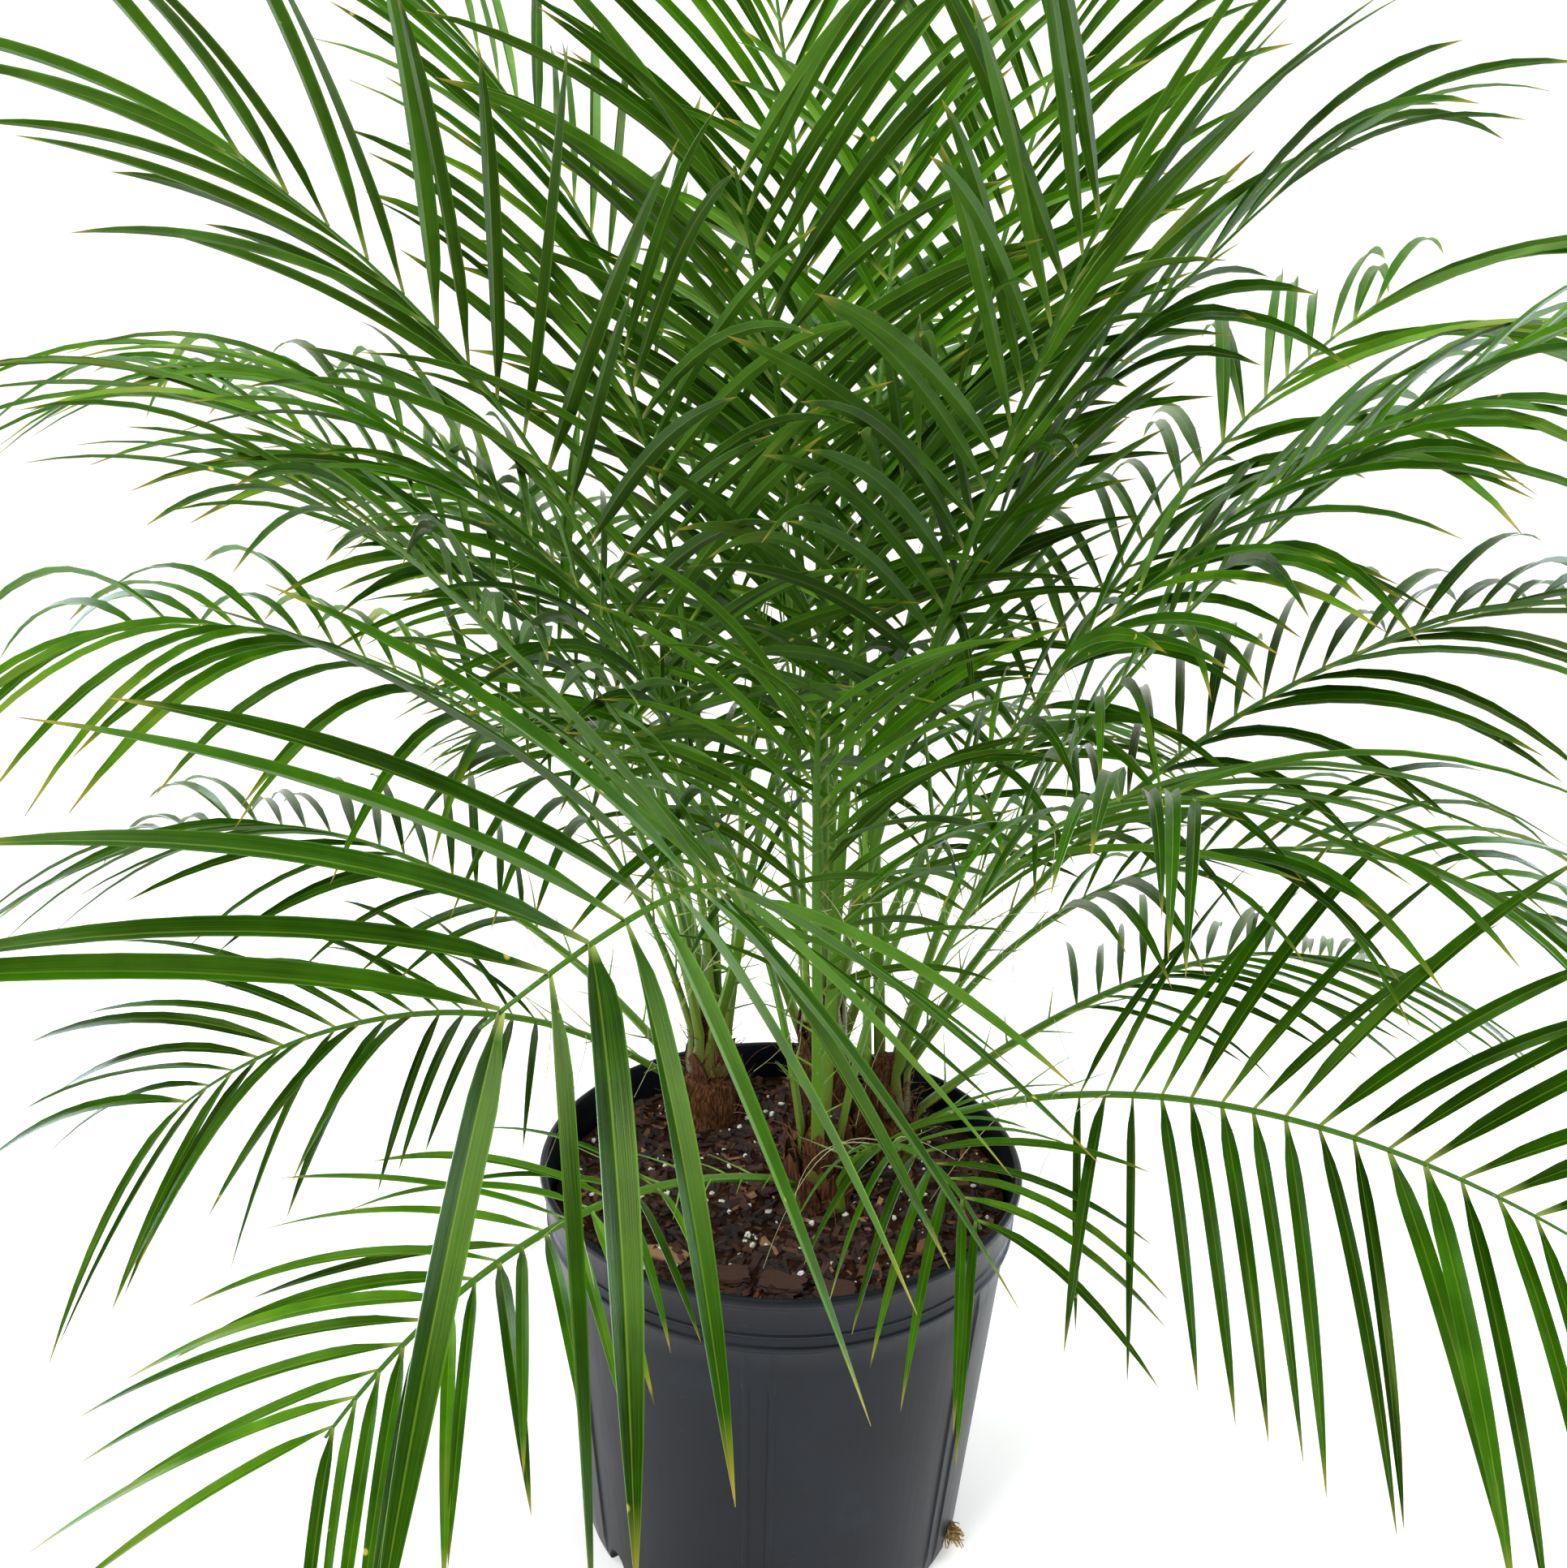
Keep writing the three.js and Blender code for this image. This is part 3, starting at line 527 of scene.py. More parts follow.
def makeLooseBark():
    dice = random.Random(11)
    blanks = [chipBlank(0.13, seed) for seed in range(6)]
    bm = newSkin()
    sizes = [((5, 15), (2.0, 5.5), (0.8, 2.2))] * mix["chips"]
    sizes += [((2, 5), (1.0, 2.5), (0.6, 1.6))] * mix["crumbs"]
    for lengths, widths, thicks in sizes:
        x, y = spotOnMix(dice, mix["radius"] - 4 * mm)
        size = Matrix.Diagonal((dice.uniform(*lengths) * mm, dice.uniform(*widths) * mm,
                                dice.uniform(*thicks) * mm, 1))
        turn = Matrix.Rotation(dice.uniform(0, math.tau), 4, "Z")
        lean = Matrix.Rotation(dice.gauss(0, 0.32), 4, "Y") @ Matrix.Rotation(dice.gauss(0, 0.4), 4, "X")
        spot = Vector((x, y, mixHeight(x, y) + dice.uniform(-0.2, 1.3) * mm))
        place = Matrix.Translation(spot) @ turn @ lean @ size
        placeBlank(bm, dice.choice(blanks), lambda co: place @ co, min(1.0, abs(dice.gauss(0.2, 0.3))))
    finishPiece("looseBark", bm, [pineBark], sharpAngle=30)


def makePerliteGrains():
    dice = random.Random(5)
    grain = newSkin()
    bmesh.ops.create_icosphere(grain, subdivisions=1, radius=1)
    for vert in grain.verts:
        vert.co *= 0.8 + 0.4 * dice.random()
    blank = bpy.data.meshes.new("grainBlank")
    grain.to_mesh(blank)
    grain.free()
    bm = newSkin()
    for _ in range(mix["grains"]):
        x, y = spotOnMix(dice, mix["radius"] - 3 * mm)
        radius = dice.choice((0.7, 0.9, 1.1, 1.5, 2.1)) * mm * dice.uniform(0.8, 1.2)
        turn = Matrix.Rotation(dice.uniform(0, math.tau), 4, Vector((dice.random(), dice.random(), 0.5)))
        size = Matrix.Diagonal((radius, radius * dice.uniform(0.6, 1), radius * dice.uniform(0.6, 1), 1))
        place = Matrix.Translation((x, y, mixHeight(x, y) + dice.uniform(0.6, 1.8) * mm)) @ turn @ size
        placeBlank(bm, blank, lambda co: place @ co, dice.random())
    finishPiece("perliteGrains", bm, [perlite], sharpAngle=20)


def makeBarkSlabs():
    noise.seed_set(16)  # noise_vector starts from the clock unless it is seeded
    for letter in "abcd":
        low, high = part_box(f"bark_{letter}")
        dice = random.Random(40 + ord(letter))
        bm = newSkin()
        bmesh.ops.create_cube(bm, size=1)
        bmesh.ops.subdivide_edges(bm, edges=bm.edges, cuts=3, use_grid_fill=True)
        angle = dice.uniform(-0.3, 0.3)
        size = high - low
        for vert in bm.verts:
            rough = noise.noise_vector(vert.co * 4.5 + Vector((ord(letter), 0, 0)))
            narrow = 1 - 0.5 * (2 * vert.co.x) ** 2 * (0.6 + 0.4 * math.sin(ord(letter)))
            vert.co.y *= narrow
            vert.co += Vector((rough.x * 0.16, rough.y * 0.2, rough.z * 0.3))
            vert.co = vert.co * Vector((size.x * 0.86, size.y * 0.8, size.z * 0.85))
        middle = (low + high) / 2
        bmesh.ops.rotate(bm, verts=bm.verts, cent=(0, 0, 0), matrix=Matrix.Rotation(angle, 3, "Z"))
        bmesh.ops.translate(bm, verts=bm.verts, vec=middle)
        toneLayer = bm.verts.layers.float["tone"]
        for vert in bm.verts:
            vert[toneLayer] = 0.95 if letter == "c" else 0.42
        finishPiece(f"barkSlab{letter.upper()}", bm, [pineBark], [f"bark_{letter}"], 35)


makeMix()
makeLooseBark()
makePerliteGrains()
makeBarkSlabs()
print("potting mix made")


# ---- palm: fronds ----
# crown, tier (0 on the shoulder, 1 on the neck, 2 in the middle), slot angle, heading, swing,
# rise at the foot, rise at the tip, length, roll, pairs, leaflet length, droop
fronds = {
    "a1": ("a", 1, -82, -74, -42, 52, -5, 545, 38, 13, 225, 0.05),
    "a2": ("a", 1, 196, 186, -2, 75, -9, 440, 8, 17, 195, 0.42),
    "a3": ("a", 2, 165, 168, 6, 80, 12, 490, 0, 18, 190, 0.3),
    "a4": ("a", 2, 285, -150, -2, 86, 33, 570, -20, 17, 225, 0.15),
    "a5": ("a", 1, 148, 150, 12, 84, 0, 560, 0, 19, 190, 0.4),
    "a6": ("a", 1, -30, -38, 0, 84, 52, 430, 0, 17, 180, 0.3),
    "a7": ("a", 1, 100, 118, 0, 66, -5, 470, 0, 17, 190, 0.35),
    "a8": ("a", 0, 210, 205, 0, 42, -34, 320, 10, 15, 155, 0.22),
    "a9": ("a", 0, 160, 166, 0, 48, -22, 400, 0, 16, 170, 0.28),
    "a10": ("a", 2, 45, -112, 0, 85, 58, 430, 0, 16, 175, 0.25),
    "a11": ("a", 1, 237, 222, -4, 78, 30, 420, 0, 16, 180, 0.3),
    "b1": ("b", 2, 110, 105, 4, 86, 62, 610, 0, 22, 200, 0.15),
    "b2": ("b", 1, -55, -60, -2, 74, 58, 520, -15, 19, 210, 0.14),
    "b3": ("b", 1, 40, 50, 3, 78, 62, 620, 0, 20, 200, 0.2),
    "b4": ("b", 1, 165, 150, 0, 82, 45, 620, 0, 20, 200, 0.2),
    "b5": ("b", 1, 88, 88, 0, 70, 18, 560, 0, 18, 190, 0.3),
    "b6": ("b", 0, 50, 60, 0, 52, -28, 430, 0, 15, 165, 0.3),
    "b7": ("b", 0, 125, 122, 0, 50, -30, 430, 0, 15, 165, 0.3),
    "b8": ("b", 1, -8, -18, 0, 84, 42, 560, 0, 19, 200, 0.3),
    "b9": ("b", 2, 230, -112, 6, 85, 50, 520, 0, 18, 190, 0.2),
    "c1": ("c", 2, -15, -20, 8, 72, 35, 520, 0, 20, 215, 0.42),
    "c2": ("c", 0, -48, -46, 10, 37, -16, 400, -38, 16, 185, 0.14),
    "c3": ("c", 1, -22, -10, -4, 64, -31, 400, 0, 16, 180, 0.34),
    "c4": ("c", 0, 12, 14, 14, 37, -28, 340, 0, 15, 160, 0.25),
    "c5": ("c", 1, 62, 28, 0, 74, 28, 560, 0, 20, 215, 0.4),
    "c6": ("c", 1, 20, 8, 2, 62, 2, 500, 0, 18, 205, 0.4),
    "c7": ("c", 1, -66, -66, 0, 70, 14, 380, 0, 14, 175, 0.3),
    "c8": ("c", 1, 110, 104, 0, 80, 40, 480, 0, 16, 180, 0.3),
    "d1": ("d", 0, -140, -137, 13, 28, -29, 330, 0, 15, 150, 0.16),
    "d2": ("d", 0, -50, -60, 0, 62, -34, 160, -10, 8, 125, 0.35),
    "d3": ("d", 1, -100, -106, 16, 84, 58, 300, 0, 13, 140, 0.25),
    "d4": ("d", 2, 60, 75, 6, 86, 60, 540, 0, 18, 185, 0.25),
    "d5": ("d", 1, 10, -8, 6, 82, 30, 480, 0, 17, 190, 0.35),
    "d6": ("d", 1, 170, 172, -8, 82, 34, 440, 0, 16, 180, 0.35),
}
frondShape = {
    "steps": 60, "bareShare": 0.32, "footRadius": 2.8 * mm, "tipRadius": 0.8 * mm, "claspLength": 26 * mm,
    "leafletHalfWidth": 0.0245, "leafletThick": 0.35 * mm, "foldAngle": 42, "spines": 8,
    "spineLength": (28 * mm, 74 * mm), "mostHang": 14 * mm,
    "leastHalfWidth": 2.9 * mm, "mostHalfWidth": 6.2 * mm, "nearFronds": ("a1", "a4", "b2", "c2", "d1"),
    "broad": {"a1": 1.16, "c2": 1.1, "d1": 1.1},
    "older": {"a1": 0.08, "d1": -0.06, "c2": 0.04}, "threads": 3, "threadLength": (40 * mm, 105 * mm),
}


def crownRadii(crown):
    # the middle holds a ring of three petioles, and each tier outside it is one petiole wider
    petiole = frondShape["footRadius"] / mm
    heartRadius = (1 + 2 / math.sqrt(3)) * petiole + crown["heartRoom"]
    neckRadius = heartRadius + 2 * petiole + 3 * fitGap
    footRadius = neckRadius + 2 * petiole + 2 * fitGap + crown["footRoom"]
    return footRadius, neckRadius, heartRadius


def footOf(crown, tier, slot):
    petiole = frondShape["footRadius"] / mm
    reach = crownRadii(crown)[tier] - petiole - fitGap
    level = (crown["shoulder"], crown["top"], crown["top"] + heartHeight)[tier]
    angle = math.radians(slot)
    x = crown["x"] + reach * math.cos(angle)
    y = crown["y"] + reach * math.sin(angle)
    return Vector((x, y, level + fitGap)) * mm


def midribLine(row):
    crownName, tier, slot, heading, swing, riseFoot, riseTip, length = row[:8]
    points = [footOf(crowns[crownName], tier, slot)]
    steps = frondShape["steps"]
    for i in range(steps):
        share = (i + 0.5) / steps
        turn = math.radians(heading + swing * share)
        rise = math.radians(riseFoot + (riseTip - riseFoot) * share ** 1.3)
        step = Vector((math.cos(rise) * math.cos(turn), math.cos(rise) * math.sin(turn), math.sin(rise)))
        points.append(points[-1] + step * length * mm / steps)
    return points


def placeOn(points, share):
    steps = len(points) - 1
    place = min(max(share, 0.0), 1.0) * steps
    low = min(int(place), steps - 1)
    point = points[low].lerp(points[low + 1], place - low)
    along = (points[min(low + 2, steps)] - points[max(low - 1, 0)]).normalized()
    side = along.cross(up).normalized()
    return point, along, side, side.cross(along)


def leafletBlank(lengthwise, across):
    bm = newSkin()
    bmesh.ops.create_grid(bm, x_segments=lengthwise, y_segments=across, size=0.5)
    bmesh.ops.solidify(bm, geom=bm.faces[:], thickness=0.02)
    lowest, highest = min(v.co.z for v in bm.verts), max(v.co.z for v in bm.verts)
    surfaceMap = bm.loops.layers.uv["surfaceMap"]
    bmesh.ops.recalc_face_normals(bm, faces=bm.faces)
    for face in bm.faces:
        face.material_index = 2 if face.normal.z < -0.5 else 1
        for loop in face.loops:
            loop[surfaceMap].uv = (loop.vert.co.x + 0.5, loop.vert.co.y + 0.5)
    for vert in bm.verts:
        vert.co.z = (vert.co.z - highest) / (highest - lowest)    # the upper skin at 0, the lower at -1
    mesh = bpy.data.meshes.new("leafletBlank")
    bm.to_mesh(mesh)
    bm.free()
    return mesh


def rodBlank(sides, cuts):
    bm = newSkin()
    bmesh.ops.create_cone(bm, cap_ends=True, segments=sides, radius1=1, radius2=1, depth=1)
    upright = [e for e in bm.edges if abs(e.verts[0].co.z - e.verts[1].co.z) > 0.5]
    bmesh.ops.subdivide_edges(bm, edges=upright, cuts=cuts)
    surfaceMap = bm.loops.layers.uv["surfaceMap"]
    for face in bm.faces:
        for loop in face.loops:
            turn = math.atan2(loop.vert.co.y, loop.vert.co.x) / math.tau + 0.5
            loop[surfaceMap].uv = (loop.vert.co.z + 0.5, turn)
    mesh = bpy.data.meshes.new("rodBlank")
    bm.to_mesh(mesh)
    bm.free()
    return mesh


def leafletTips(node):
    bm = bmesh.new()
    bm.from_mesh(node.data)
    bmesh.ops.remove_doubles(bm, verts=bm.verts, dist=0.00001)
    found = []
    for vert in bm.verts:
        if min(edge.calc_length() for edge in vert.link_edges) > 14 * mm:
            near = [edge.other_vert(vert).co for edge in vert.link_edges]
            found.append((vert.co.copy(), sum(near, Vector()) / len(near)))
    bm.free()
    return found


def bowedPoint(start, knee, tip, share):
    point = start * (1 - share) ** 2 + knee * 2 * share * (1 - share) + tip * share ** 2
    along = ((knee - start) * (1 - share) + (tip - knee) * share).normalized()
    return point, along


def addBlade(bm, blank, path, above, halfWidth, fold, roll, twist, thick, tone, materialIndex=None):
    def place(co):
        share = co.x + 0.5
        point, along = bowedPoint(*path, share)
        normal = (above - along * above.dot(along)).normalized()
        normal = Matrix.Rotation(roll + twist * share, 3, along) @ normal
        across = normal.cross(along)
        swell = (0.24 + 0.76 * smoothStep(0.0, 0.2, share)) * max(1 - share ** 4, 0.012)
        bend = fold * (1 - 0.55 * share)
        wide = co.y * 2 * halfWidth * swell
        lift = abs(wide) * math.sin(bend) + co.z * thick * (0.5 + 0.5 * swell)
        return point + across * wide * math.cos(bend) + normal * lift

    placeBlank(bm, blank, place, tone, materialIndex)


def addLeaflet(bm, blank, start, tip, above, droop, dice, tone, broad):
    length = (tip - start).length
    hang = dice.random() ** 2
    knee = (start + tip) / 2 + up * length * (0.5 * droop * dice.uniform(0.8, 1.2) + 0.03 + 0.05 * hang)
    knee += above * length * dice.uniform(-0.01, 0.03)
    tip = tip - up * min(0.09 * length * hang, frondShape["mostHang"])
    halfWidth = frondShape["leafletHalfWidth"] * length * dice.uniform(0.88, 1.08) * broad
    halfWidth = min(max(halfWidth, frondShape["leastHalfWidth"]), frondShape["mostHalfWidth"] * broad)
    fold = math.radians(frondShape["foldAngle"] * dice.uniform(0.7, 1.15))
    roll, twist = math.radians(dice.gauss(0, 10)), math.radians(dice.gauss(0, 20))
    addBlade(bm, blank, (start, knee, tip), above, halfWidth, fold, roll, twist,
             frondShape["leafletThick"], tone)


def addRod(bm, blank, start, knee, tip, footRadius, tipRadius, tone, materialIndex):
    def place(co):
        share = co.z + 0.5
        point, along = bowedPoint(start, knee, tip, share)
        side = along.cross(up if abs(along.z) < 0.95 else Vector((1, 0, 0))).normalized()
        radius = footRadius + (tipRadius - footRadius) * share
        return point + (side * co.x + side.cross(along) * co.y) * radius

    placeBlank(bm, blank, place, tone, materialIndex)


def addStalk(bm, blank, row, points):
    crown = crowns[row[0]]
    axis = Vector((crown["x"] * mm, crown["y"] * mm, 0))
    foot = points[0]
    outward = Vector((foot.x - axis.x, foot.y - axis.y, 0))
    outward = outward.normalized() if outward.length > 1 * mm else Vector((1, 0, 0))
    clasp = frondShape["claspLength"]
    bare = clasp / (clasp + row[7] * mm)

    def place(co):
        reach = co.z + 0.5
        if reach < bare:
            low = reach / bare
            point = foot + outward * 1.5 * mm * (1 - low) - up * clasp * (1 - low)
            side = outward.cross(up).normalized()
            over = -outward
            wide, deep = frondShape["footRadius"] + 5.5 * mm * (1 - low) ** 1.5, 2.4 * mm
        else:
            share = (reach - bare) / (1 - bare)
            point, along, side, over = placeOn(points, share)
            radius = frondShape["footRadius"] * (1 - share) ** 0.8 + frondShape["tipRadius"]
            blendIn = smoothStep(0.0, 0.05, share)
            if blendIn < 1:
                side = (outward.cross(up).normalized() * (1 - blendIn) + side * blendIn).normalized()
                over = (-outward * (1 - blendIn) + over * blendIn).normalized()
            wide, deep = radius * 1.08, radius * 0.86
        flat = 0.55 if co.y > 0 else 1.0
        return point + side * co.x * wide + over * co.y * deep * flat

    placeBlank(bm, blank, place, 0.5, 0)


def makeFrond(name, index):
    row = fronds[name]
    dice = random.Random(700 + index)
    points = midribLine(row)
    near = name in frondShape["nearFronds"]
    bm = newSkin()
    addStalk(bm, stalkRod, row, points)
    pairs = row[9]
    feet = []
    for pair in range(pairs):
        share = frondShape["bareShare"] + (1 - frondShape["bareShare"]) * (pair + 0.6) / pairs
        feet.append((share, placeOn(points, share)))
    roll = math.radians(row[8])
    frondTone = dice.uniform(0.0, 0.34) + frondShape["older"].get(name, 0.0)
    for tip, footGuess in leafletTips(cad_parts[f"frond_{name}"]):
        share, (point, along, side, over) = min(feet, key=lambda f: (f[1][0] - footGuess).length)
        above = over * math.cos(roll) - side * math.sin(roll)
        tone = frondTone + dice.gauss(0, 0.12)
        start = point + (tip - point).normalized() * 0.6 * mm
        broad = frondShape["broad"].get(name, 1.0)
        addLeaflet(bm, leafletFine if near else leafletPlain, start, tip, above, row[11], dice, tone, broad)
    # the lowest leaflets of a petiole harden into long spines
    for i in range(frondShape["spines"]):
        share = 0.05 + 0.30 * (i + dice.random() * 0.6) / frondShape["spines"]
        point, along, side, over = placeOn(points, share)
        hand = 1 if i % 2 else -1
        lean = math.radians(dice.uniform(35, 65))
        away = along * math.cos(lean) + side * hand * math.sin(lean) + over * dice.uniform(-0.1, 0.35)
        length = dice.uniform(*frondShape["spineLength"]) * (0.6 + share)
        tip = point + away.normalized() * length
        tip.z = max(tip.z, twigFloor)
        knee = (point + tip) / 2 + over * length * dice.uniform(-0.05, 0.12)
        addRod(bm, spineRod, point, knee, tip, 0.85 * mm, 0.12 * mm, 0.5, 3)
    # dry threads that tore from the leaf's edge as it opened
    for _ in range(frondShape["threads"]):
        point, along, side, over = placeOn(points, dice.uniform(0.15, 0.7))
        length = dice.uniform(*frondShape["threadLength"])
        away = side * dice.uniform(-1, 1) + along * dice.uniform(-0.5, 0.6) - up * dice.uniform(0.0, 0.9)
        tip = point + away.normalized() * length
        tip.z = max(tip.z, twigFloor)
        knee = (point + tip) / 2 + (over * dice.uniform(0.1, 0.6) + side * dice.uniform(-0.3, 0.3)) * length
        addRod(bm, longThreadRod, point, knee, tip, 0.32 * mm, 0.14 * mm, 0.5, 4)
    finishPiece(f"frond{name.upper()}", bm, [stalk, leafSkinTop, leafSkinUnder, spineSkin, paleThreadSkin],
                [f"frond_{name}"], 42)


crownShape = {"plates": 15, "threads": 110}


def makeCrown(letter):
    crown = crowns[letter]
    footRadius, neckRadius, _ = crownRadii(crown)
    dice = random.Random(ord(letter))
    bm = newSkin()
    centre = Vector((crown["x"], crown["y"], 0)) * mm
    outline = [(0, mixTop - 8), (footRadius - 3, mixTop - 8), (footRadius - 1.5, mixTop),
               (footRadius - 3, mixTop + 10), (footRadius - 6, crown["shoulder"]),
               (neckRadius - 3.5, crown["shoulder"] + 6), (neckRadius - 5, crown["top"]),
               (neckRadius * 0.45, crown["top"] + heartHeight - 2), (0, crown["top"] + heartHeight)]
    verts = [bm.verts.new((radius * mm, 0, height * mm)) for radius, height in outline]
    edges = [bm.edges.new(pair) for pair in zip(verts, verts[1:])]
    bmesh.ops.subdivide_edges(bm, edges=edges, cuts=3)
    bmesh.ops.spin(bm, geom=bm.verts[:] + bm.edges[:], cent=(0, 0, 0), axis=(0, 0, 1), angle=math.tau,
                   steps=44, use_merge=True)
    bmesh.ops.remove_doubles(bm, verts=bm.verts, dist=0.00001)
    bmesh.ops.recalc_face_normals(bm, faces=bm.faces)
    for vert in bm.verts:
        angle = math.atan2(vert.co.y, vert.co.x)
        ridge = abs(math.sin(angle * 4.5 + vert.co.z * 60 + ord(letter)))
        swell = 1 + 0.16 * (ridge - 0.5) + 0.12 * noise.noise(vert.co * 160)
        vert.co.x *= swell
        vert.co.y *= swell
    bmesh.ops.translate(bm, verts=bm.verts, vec=centre)
    bm = settled(bm)
    # overlapping plates: the bases of leaves long since cut away
    for i in range(crownShape["plates"]):
        angle = i * 2.4 + ord(letter)
        low = i < crownShape["plates"] * 0.6
        out = Vector((math.cos(angle), math.sin(angle), 0))
        radius = (footRadius - 3.5 if low else neckRadius - 3) * mm
        foot = centre + out * radius + up * ((mixTop - 1) * mm if low else (crown["shoulder"] - 3) * mm)
        tip = foot + out * dice.uniform(1.5, 6) * mm + up * dice.uniform(22, 38) * mm
        knee = (foot + tip) / 2 + out * dice.uniform(0, 2.5) * mm
        addBlade(bm, leafletPlain, (foot, knee, tip), -out, dice.uniform(7, 10) * mm, math.radians(24),
                 dice.uniform(-0.15, 0.15), dice.uniform(-0.3, 0.3), 1.2 * mm, 0.5, 0)
    # torn fibre threads stand out from the old leaf bases
    for _ in range(crownShape["threads"]):
        angle = dice.uniform(0, math.tau)
        height = dice.uniform(mixTop + 4, crown["top"])
        radius = footRadius - 4 if height < crown["shoulder"] else neckRadius - 4
        out = Vector((math.cos(angle), math.sin(angle), 0))
        start = centre + out * radius * mm + up * height * mm
        length = dice.uniform(10, 34) * mm
        tip = start + out * length * dice.uniform(0.15, 0.8) + up * length * dice.uniform(-0.2, 0.9)
        tip.z = max(tip.z, (mixTop + 3) * mm)
        knee = (start + tip) / 2 + Vector([dice.uniform(-0.2, 0.2) for _ in range(3)]) * length
        addRod(bm, threadRod, start, knee, tip, 0.35 * mm, 0.12 * mm, 0.5, 1)
    finishPiece(f"crown{letter.upper()}", bm, [leafFibre, threadSkin],
                [f"crown_{letter}"], 50)


spear = {"footRadius": 2.6 * mm, "tipRadius": 0.3 * mm, "sunk": 14 * mm, "parted": 5}


def makeSpear(letter):
    low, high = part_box(f"spear_{letter}")
    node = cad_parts[f"spear_{letter}"]
    foot = [v.co for v in node.data.vertices if v.co.z < low.z + 6 * mm]
    head = [v.co for v in node.data.vertices if v.co.z > high.z - 2 * mm]
    start = sum(foot, Vector()) / len(foot)
    tip = sum(head, Vector()) / len(head)
    dice = random.Random(60 + ord(letter))
    bm = newSkin()
    addRod(bm, spearRod, start - up * spear["sunk"], (start + tip) / 2, tip, spear["footRadius"],
           spear["tipRadius"], 0.5, 0)
    # the outermost folded leaflets have begun to part from the spear
    for i in range(spear["parted"]):
        share = 0.35 + 0.1 * i
        point = start.lerp(tip, share)
        angle = dice.uniform(0, math.tau)
        out = Vector((math.cos(angle), math.sin(angle), 0))
        end = point.lerp(tip, 0.75) + out * dice.uniform(5, 13) * mm
        addRod(bm, spineRod, point, (point + end) / 2 + out * 2 * mm, end, 1.3 * mm, 0.2 * mm, 0.5, 0)
    finishPiece(f"spear{letter.upper()}", bm, [spearSkin], [f"spear_{letter}"], 50)


rootTuft = {"strands": 70, "foot": Vector((104, -42, 8.5)) * mm}


def makeStrayRoots():
    # a tangled tuft that hangs from the slot and curls back towards the wall
    low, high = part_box("stray_root")
    dice = random.Random(3)
    bm = newSkin()
    for _ in range(rootTuft["strands"]):
        spread = Vector((dice.uniform(-1, 1), dice.uniform(-3, 3), dice.uniform(-2, 2))) * mm
        first = rootTuft["foot"] + spread
        outX = high.x + dice.uniform(-9, 3) * mm
        last = Vector((outX, low.y + dice.uniform(-4, 9) * mm, dice.uniform(1.5, 13) * mm))
        curl = Vector((dice.uniform(-1, 5), dice.uniform(-5, 5), dice.uniform(-1, 6))) * mm
        knee = (first + last) / 2 + curl
        knee.z = max(knee.z, 2 * mm)
        addRod(bm, threadRod, first, knee, last, dice.uniform(0.5, 1.1) * mm, 0.35 * mm, dice.random(), 0)
    finishPiece("strayRoots", bm, [rootSkin], ["stray_root"], 50)


leafletPlain = leafletBlank(9, 2)
leafletFine = leafletBlank(14, 4)
stalkRod = rodBlank(8, 46)
spineRod = rodBlank(4, 4)
threadRod = rodBlank(3, 5)
longThreadRod = rodBlank(3, 10)
spearRod = rodBlank(10, 12)
for letter in crowns:
    makeCrown(letter)
for index, name in enumerate(fronds):
    makeFrond(name, index)
for letter in "abc":
    makeSpear(letter)
makeStrayRoots()
print("palm made")


# ---- studio: white sweep, soft lights, camera ----
studio = {"floorHalf": 3.0, "sweepRadius": 1.0, "sweepHeight": 3.5, "bendStart": 2.2, "bendSteps": 12,
          "floorDrop": 0.2 * mm, "worldStrength": 0.36, "paperGlow": 0.34}


def makeSweep():
    # Seamless background paper: matt white, with the faintest glow so that it stays evenly lit.
    material, shader = newMaterial("Backdrop paper, matt white",
                                   {"Roughness": 1.0, "Specular IOR Level": 0.0,
                                    "Emission Strength": studio["paperGlow"]})
    tooth = addNoise(material, objectSpot(material), 3.0, 2.0)
    tint = addRamp(material, tooth.outputs["Fac"], [(0.3, "#f6f5f1"), (0.7, "#f9f8f5")])
    joinShader(material, shader, {"Base Color": tint, "Emission Color": tint})
    bm = bmesh.new()
    half, radius, bendStart = studio["floorHalf"], studio["sweepRadius"], studio["bendStart"]
    profile = [(-half, 0), (bendStart, 0)]
    for i in range(1, studio["bendSteps"] + 1):
        turn = math.pi / 2 * i / studio["bendSteps"]
        profile.append((bendStart + radius * math.sin(turn), radius * (1 - math.cos(turn))))
    profile.append((bendStart + radius, studio["sweepHeight"]))
    verts = [bm.verts.new((-half * 1.6, y, z - studio["floorDrop"])) for y, z in profile]
    edges = [bm.edges.new(pair) for pair in zip(verts, verts[1:])]
    grown = bmesh.ops.extrude_edge_only(bm, edges=edges)
    moved = [item for item in grown["geom"] if isinstance(item, bmesh.types.BMVert)]
    bmesh.ops.translate(bm, verts=moved, vec=(half * 3.2, 0, 0))
    bmesh.ops.recalc_face_normals(bm, faces=bm.faces)
    mesh = bpy.data.meshes.new("studioSweep")
    bm.to_mesh(mesh)
    bm.free()
    for polygon in mesh.polygons:
        polygon.use_smooth = True
    mesh.materials.append(material)
    sweep = bpy.data.objects.new("studioSweep", mesh)
    scene.collection.objects.link(sweep)


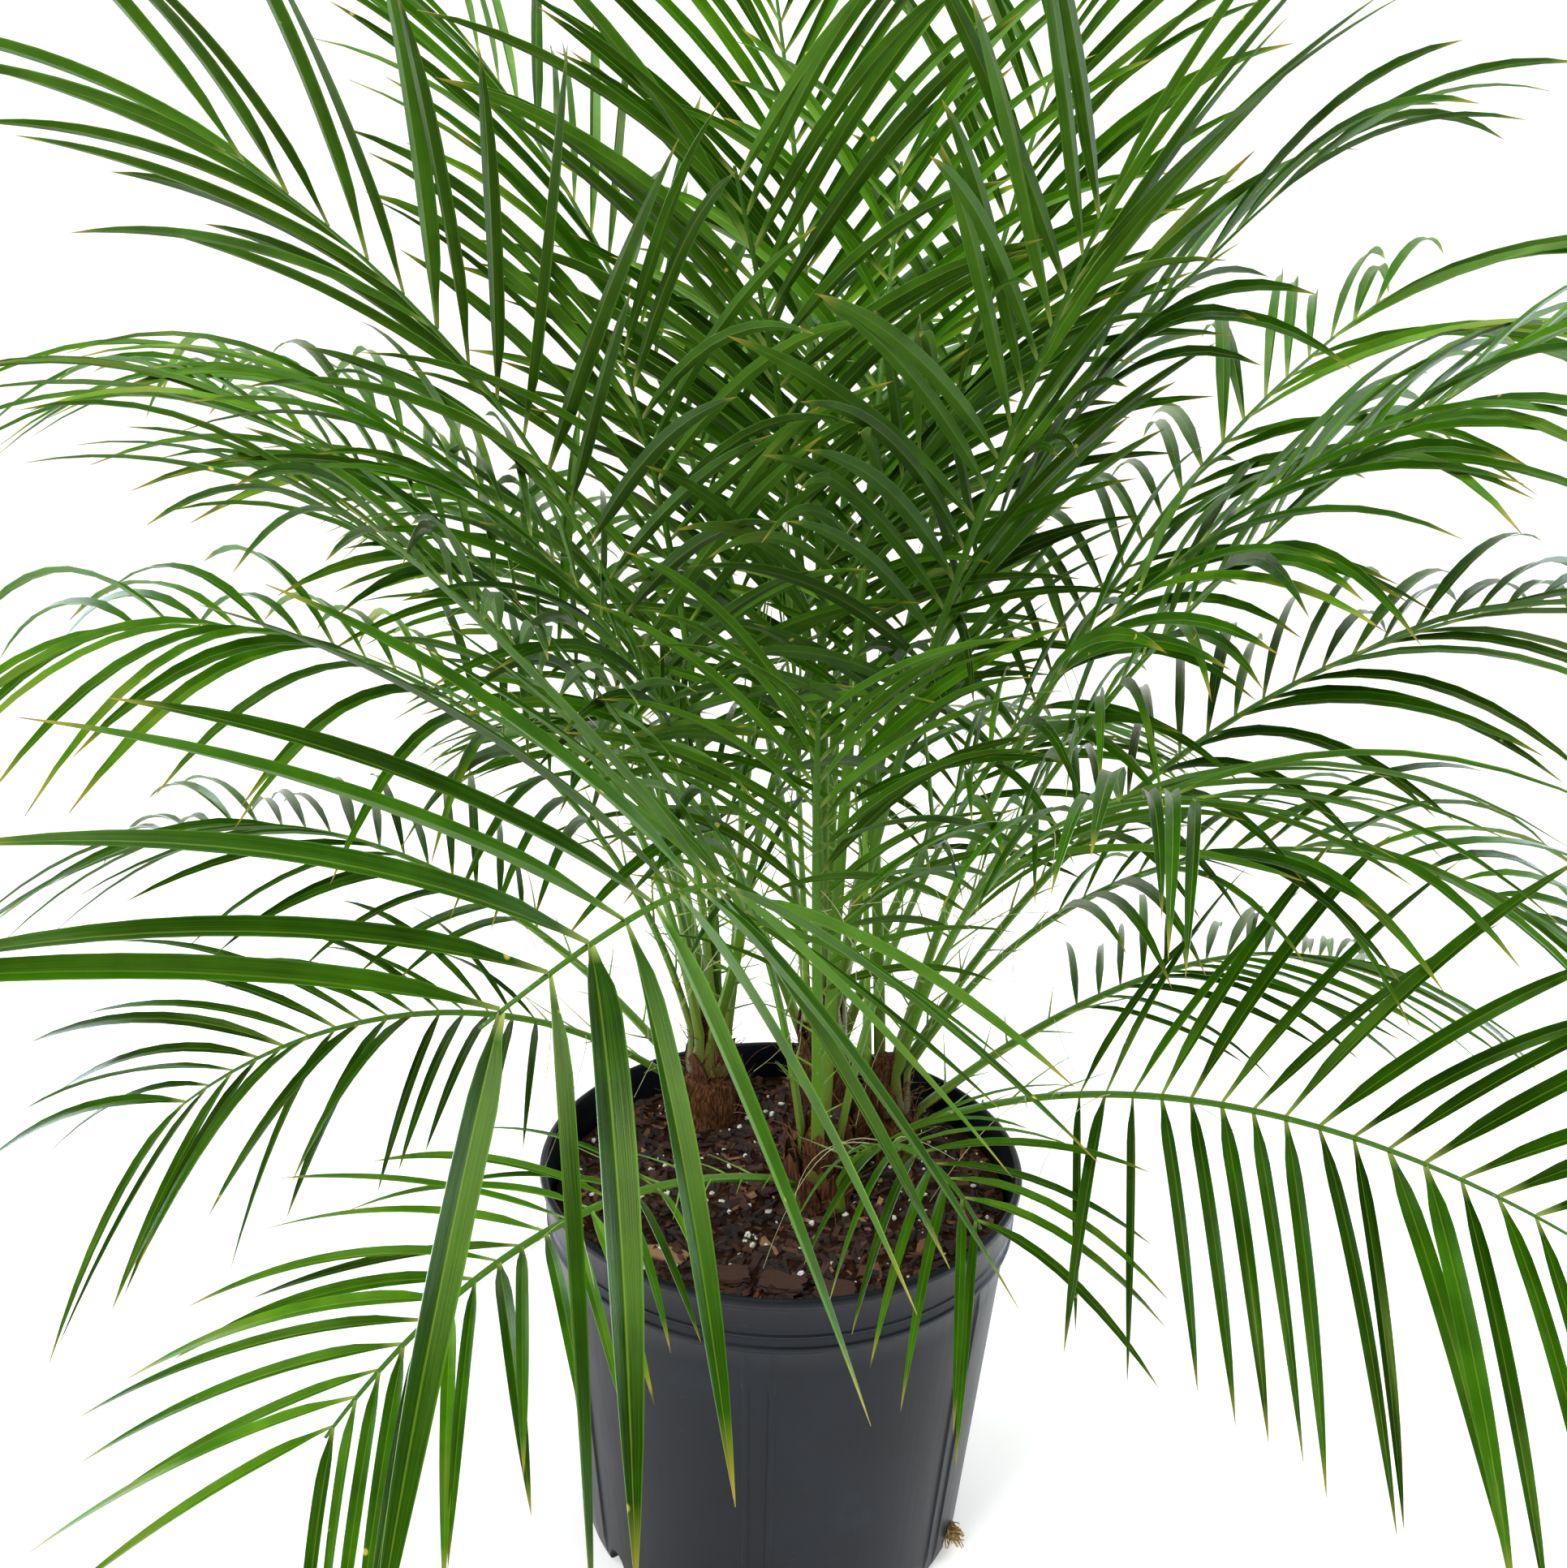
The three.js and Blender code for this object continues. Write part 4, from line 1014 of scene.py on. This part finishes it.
def addSoftbox(name, place, aim, size, power, colour="#ffffff"):
    light = bpy.data.lights.new(name, "AREA")
    light.shape = "RECTANGLE"
    light.size, light.size_y = size
    light.energy = power
    light.color = linearColour(colour)[:3]
    lamp = bpy.data.objects.new(name, light)
    lamp.location = place
    lamp.rotation_euler = (Vector(aim) - Vector(place)).to_track_quat("-Z", "Y").to_euler()
    scene.collection.objects.link(lamp)


makeSweep()
addSoftbox("frontLeftSoftbox", (-1.2, -1.7, 2.1), (0, 0, 0.5), (0.8, 0.8), 50)
addSoftbox("frontRightSoftbox", (1.9, -1.2, 1.7), (0, 0, 0.4), (1.0, 1.4), 12)
addSoftbox("overheadSoftbox", (0.1, 0.3, 2.7), (0, 0, 0.4), (1.5, 1.5), 50)
addSoftbox("leftStrip", (-1.1, 0.45, 0.35), (0, 0, 0.15), (0.35, 0.9), 11, "#dfe8ff")
addSoftbox("rightStrip", (1.1, 0.5, 0.35), (0, 0, 0.15), (0.35, 0.9), 12, "#dfe8ff")

world = bpy.data.worlds.new("studioWorld")
world.use_nodes = True
world.node_tree.nodes["Background"].inputs["Color"].default_value = linearColour("#ffffff")
world.node_tree.nodes["Background"].inputs["Strength"].default_value = studio["worldStrength"]
scene.world = world
scene.view_settings.view_transform = "Standard"
scene.view_settings.look = "None"

camera = {"lens": 39.15, "pitch": 19.35, "roll": 1.5, "aim": (-4.4 * mm, 0, 469 * mm), "distance": 0.920}
cameraData = bpy.data.cameras.new("studioCamera")
cameraData.sensor_width = 36
cameraData.lens = camera["lens"]
cameraData.clip_start = 0.02
cameraObject = bpy.data.objects.new("studioCamera", cameraData)
tilt = Matrix.Rotation(math.radians(90 - camera["pitch"]), 4, "X")
back = tilt @ Vector((0, 0, camera["distance"]))
cameraObject.matrix_world = (Matrix.Translation(Vector(camera["aim"]) + back) @ tilt
                             @ Matrix.Rotation(math.radians(camera["roll"]), 4, "Z"))
scene.collection.objects.link(cameraObject)
scene.camera = cameraObject
print("studio made")

bpy.context.view_layer.update()
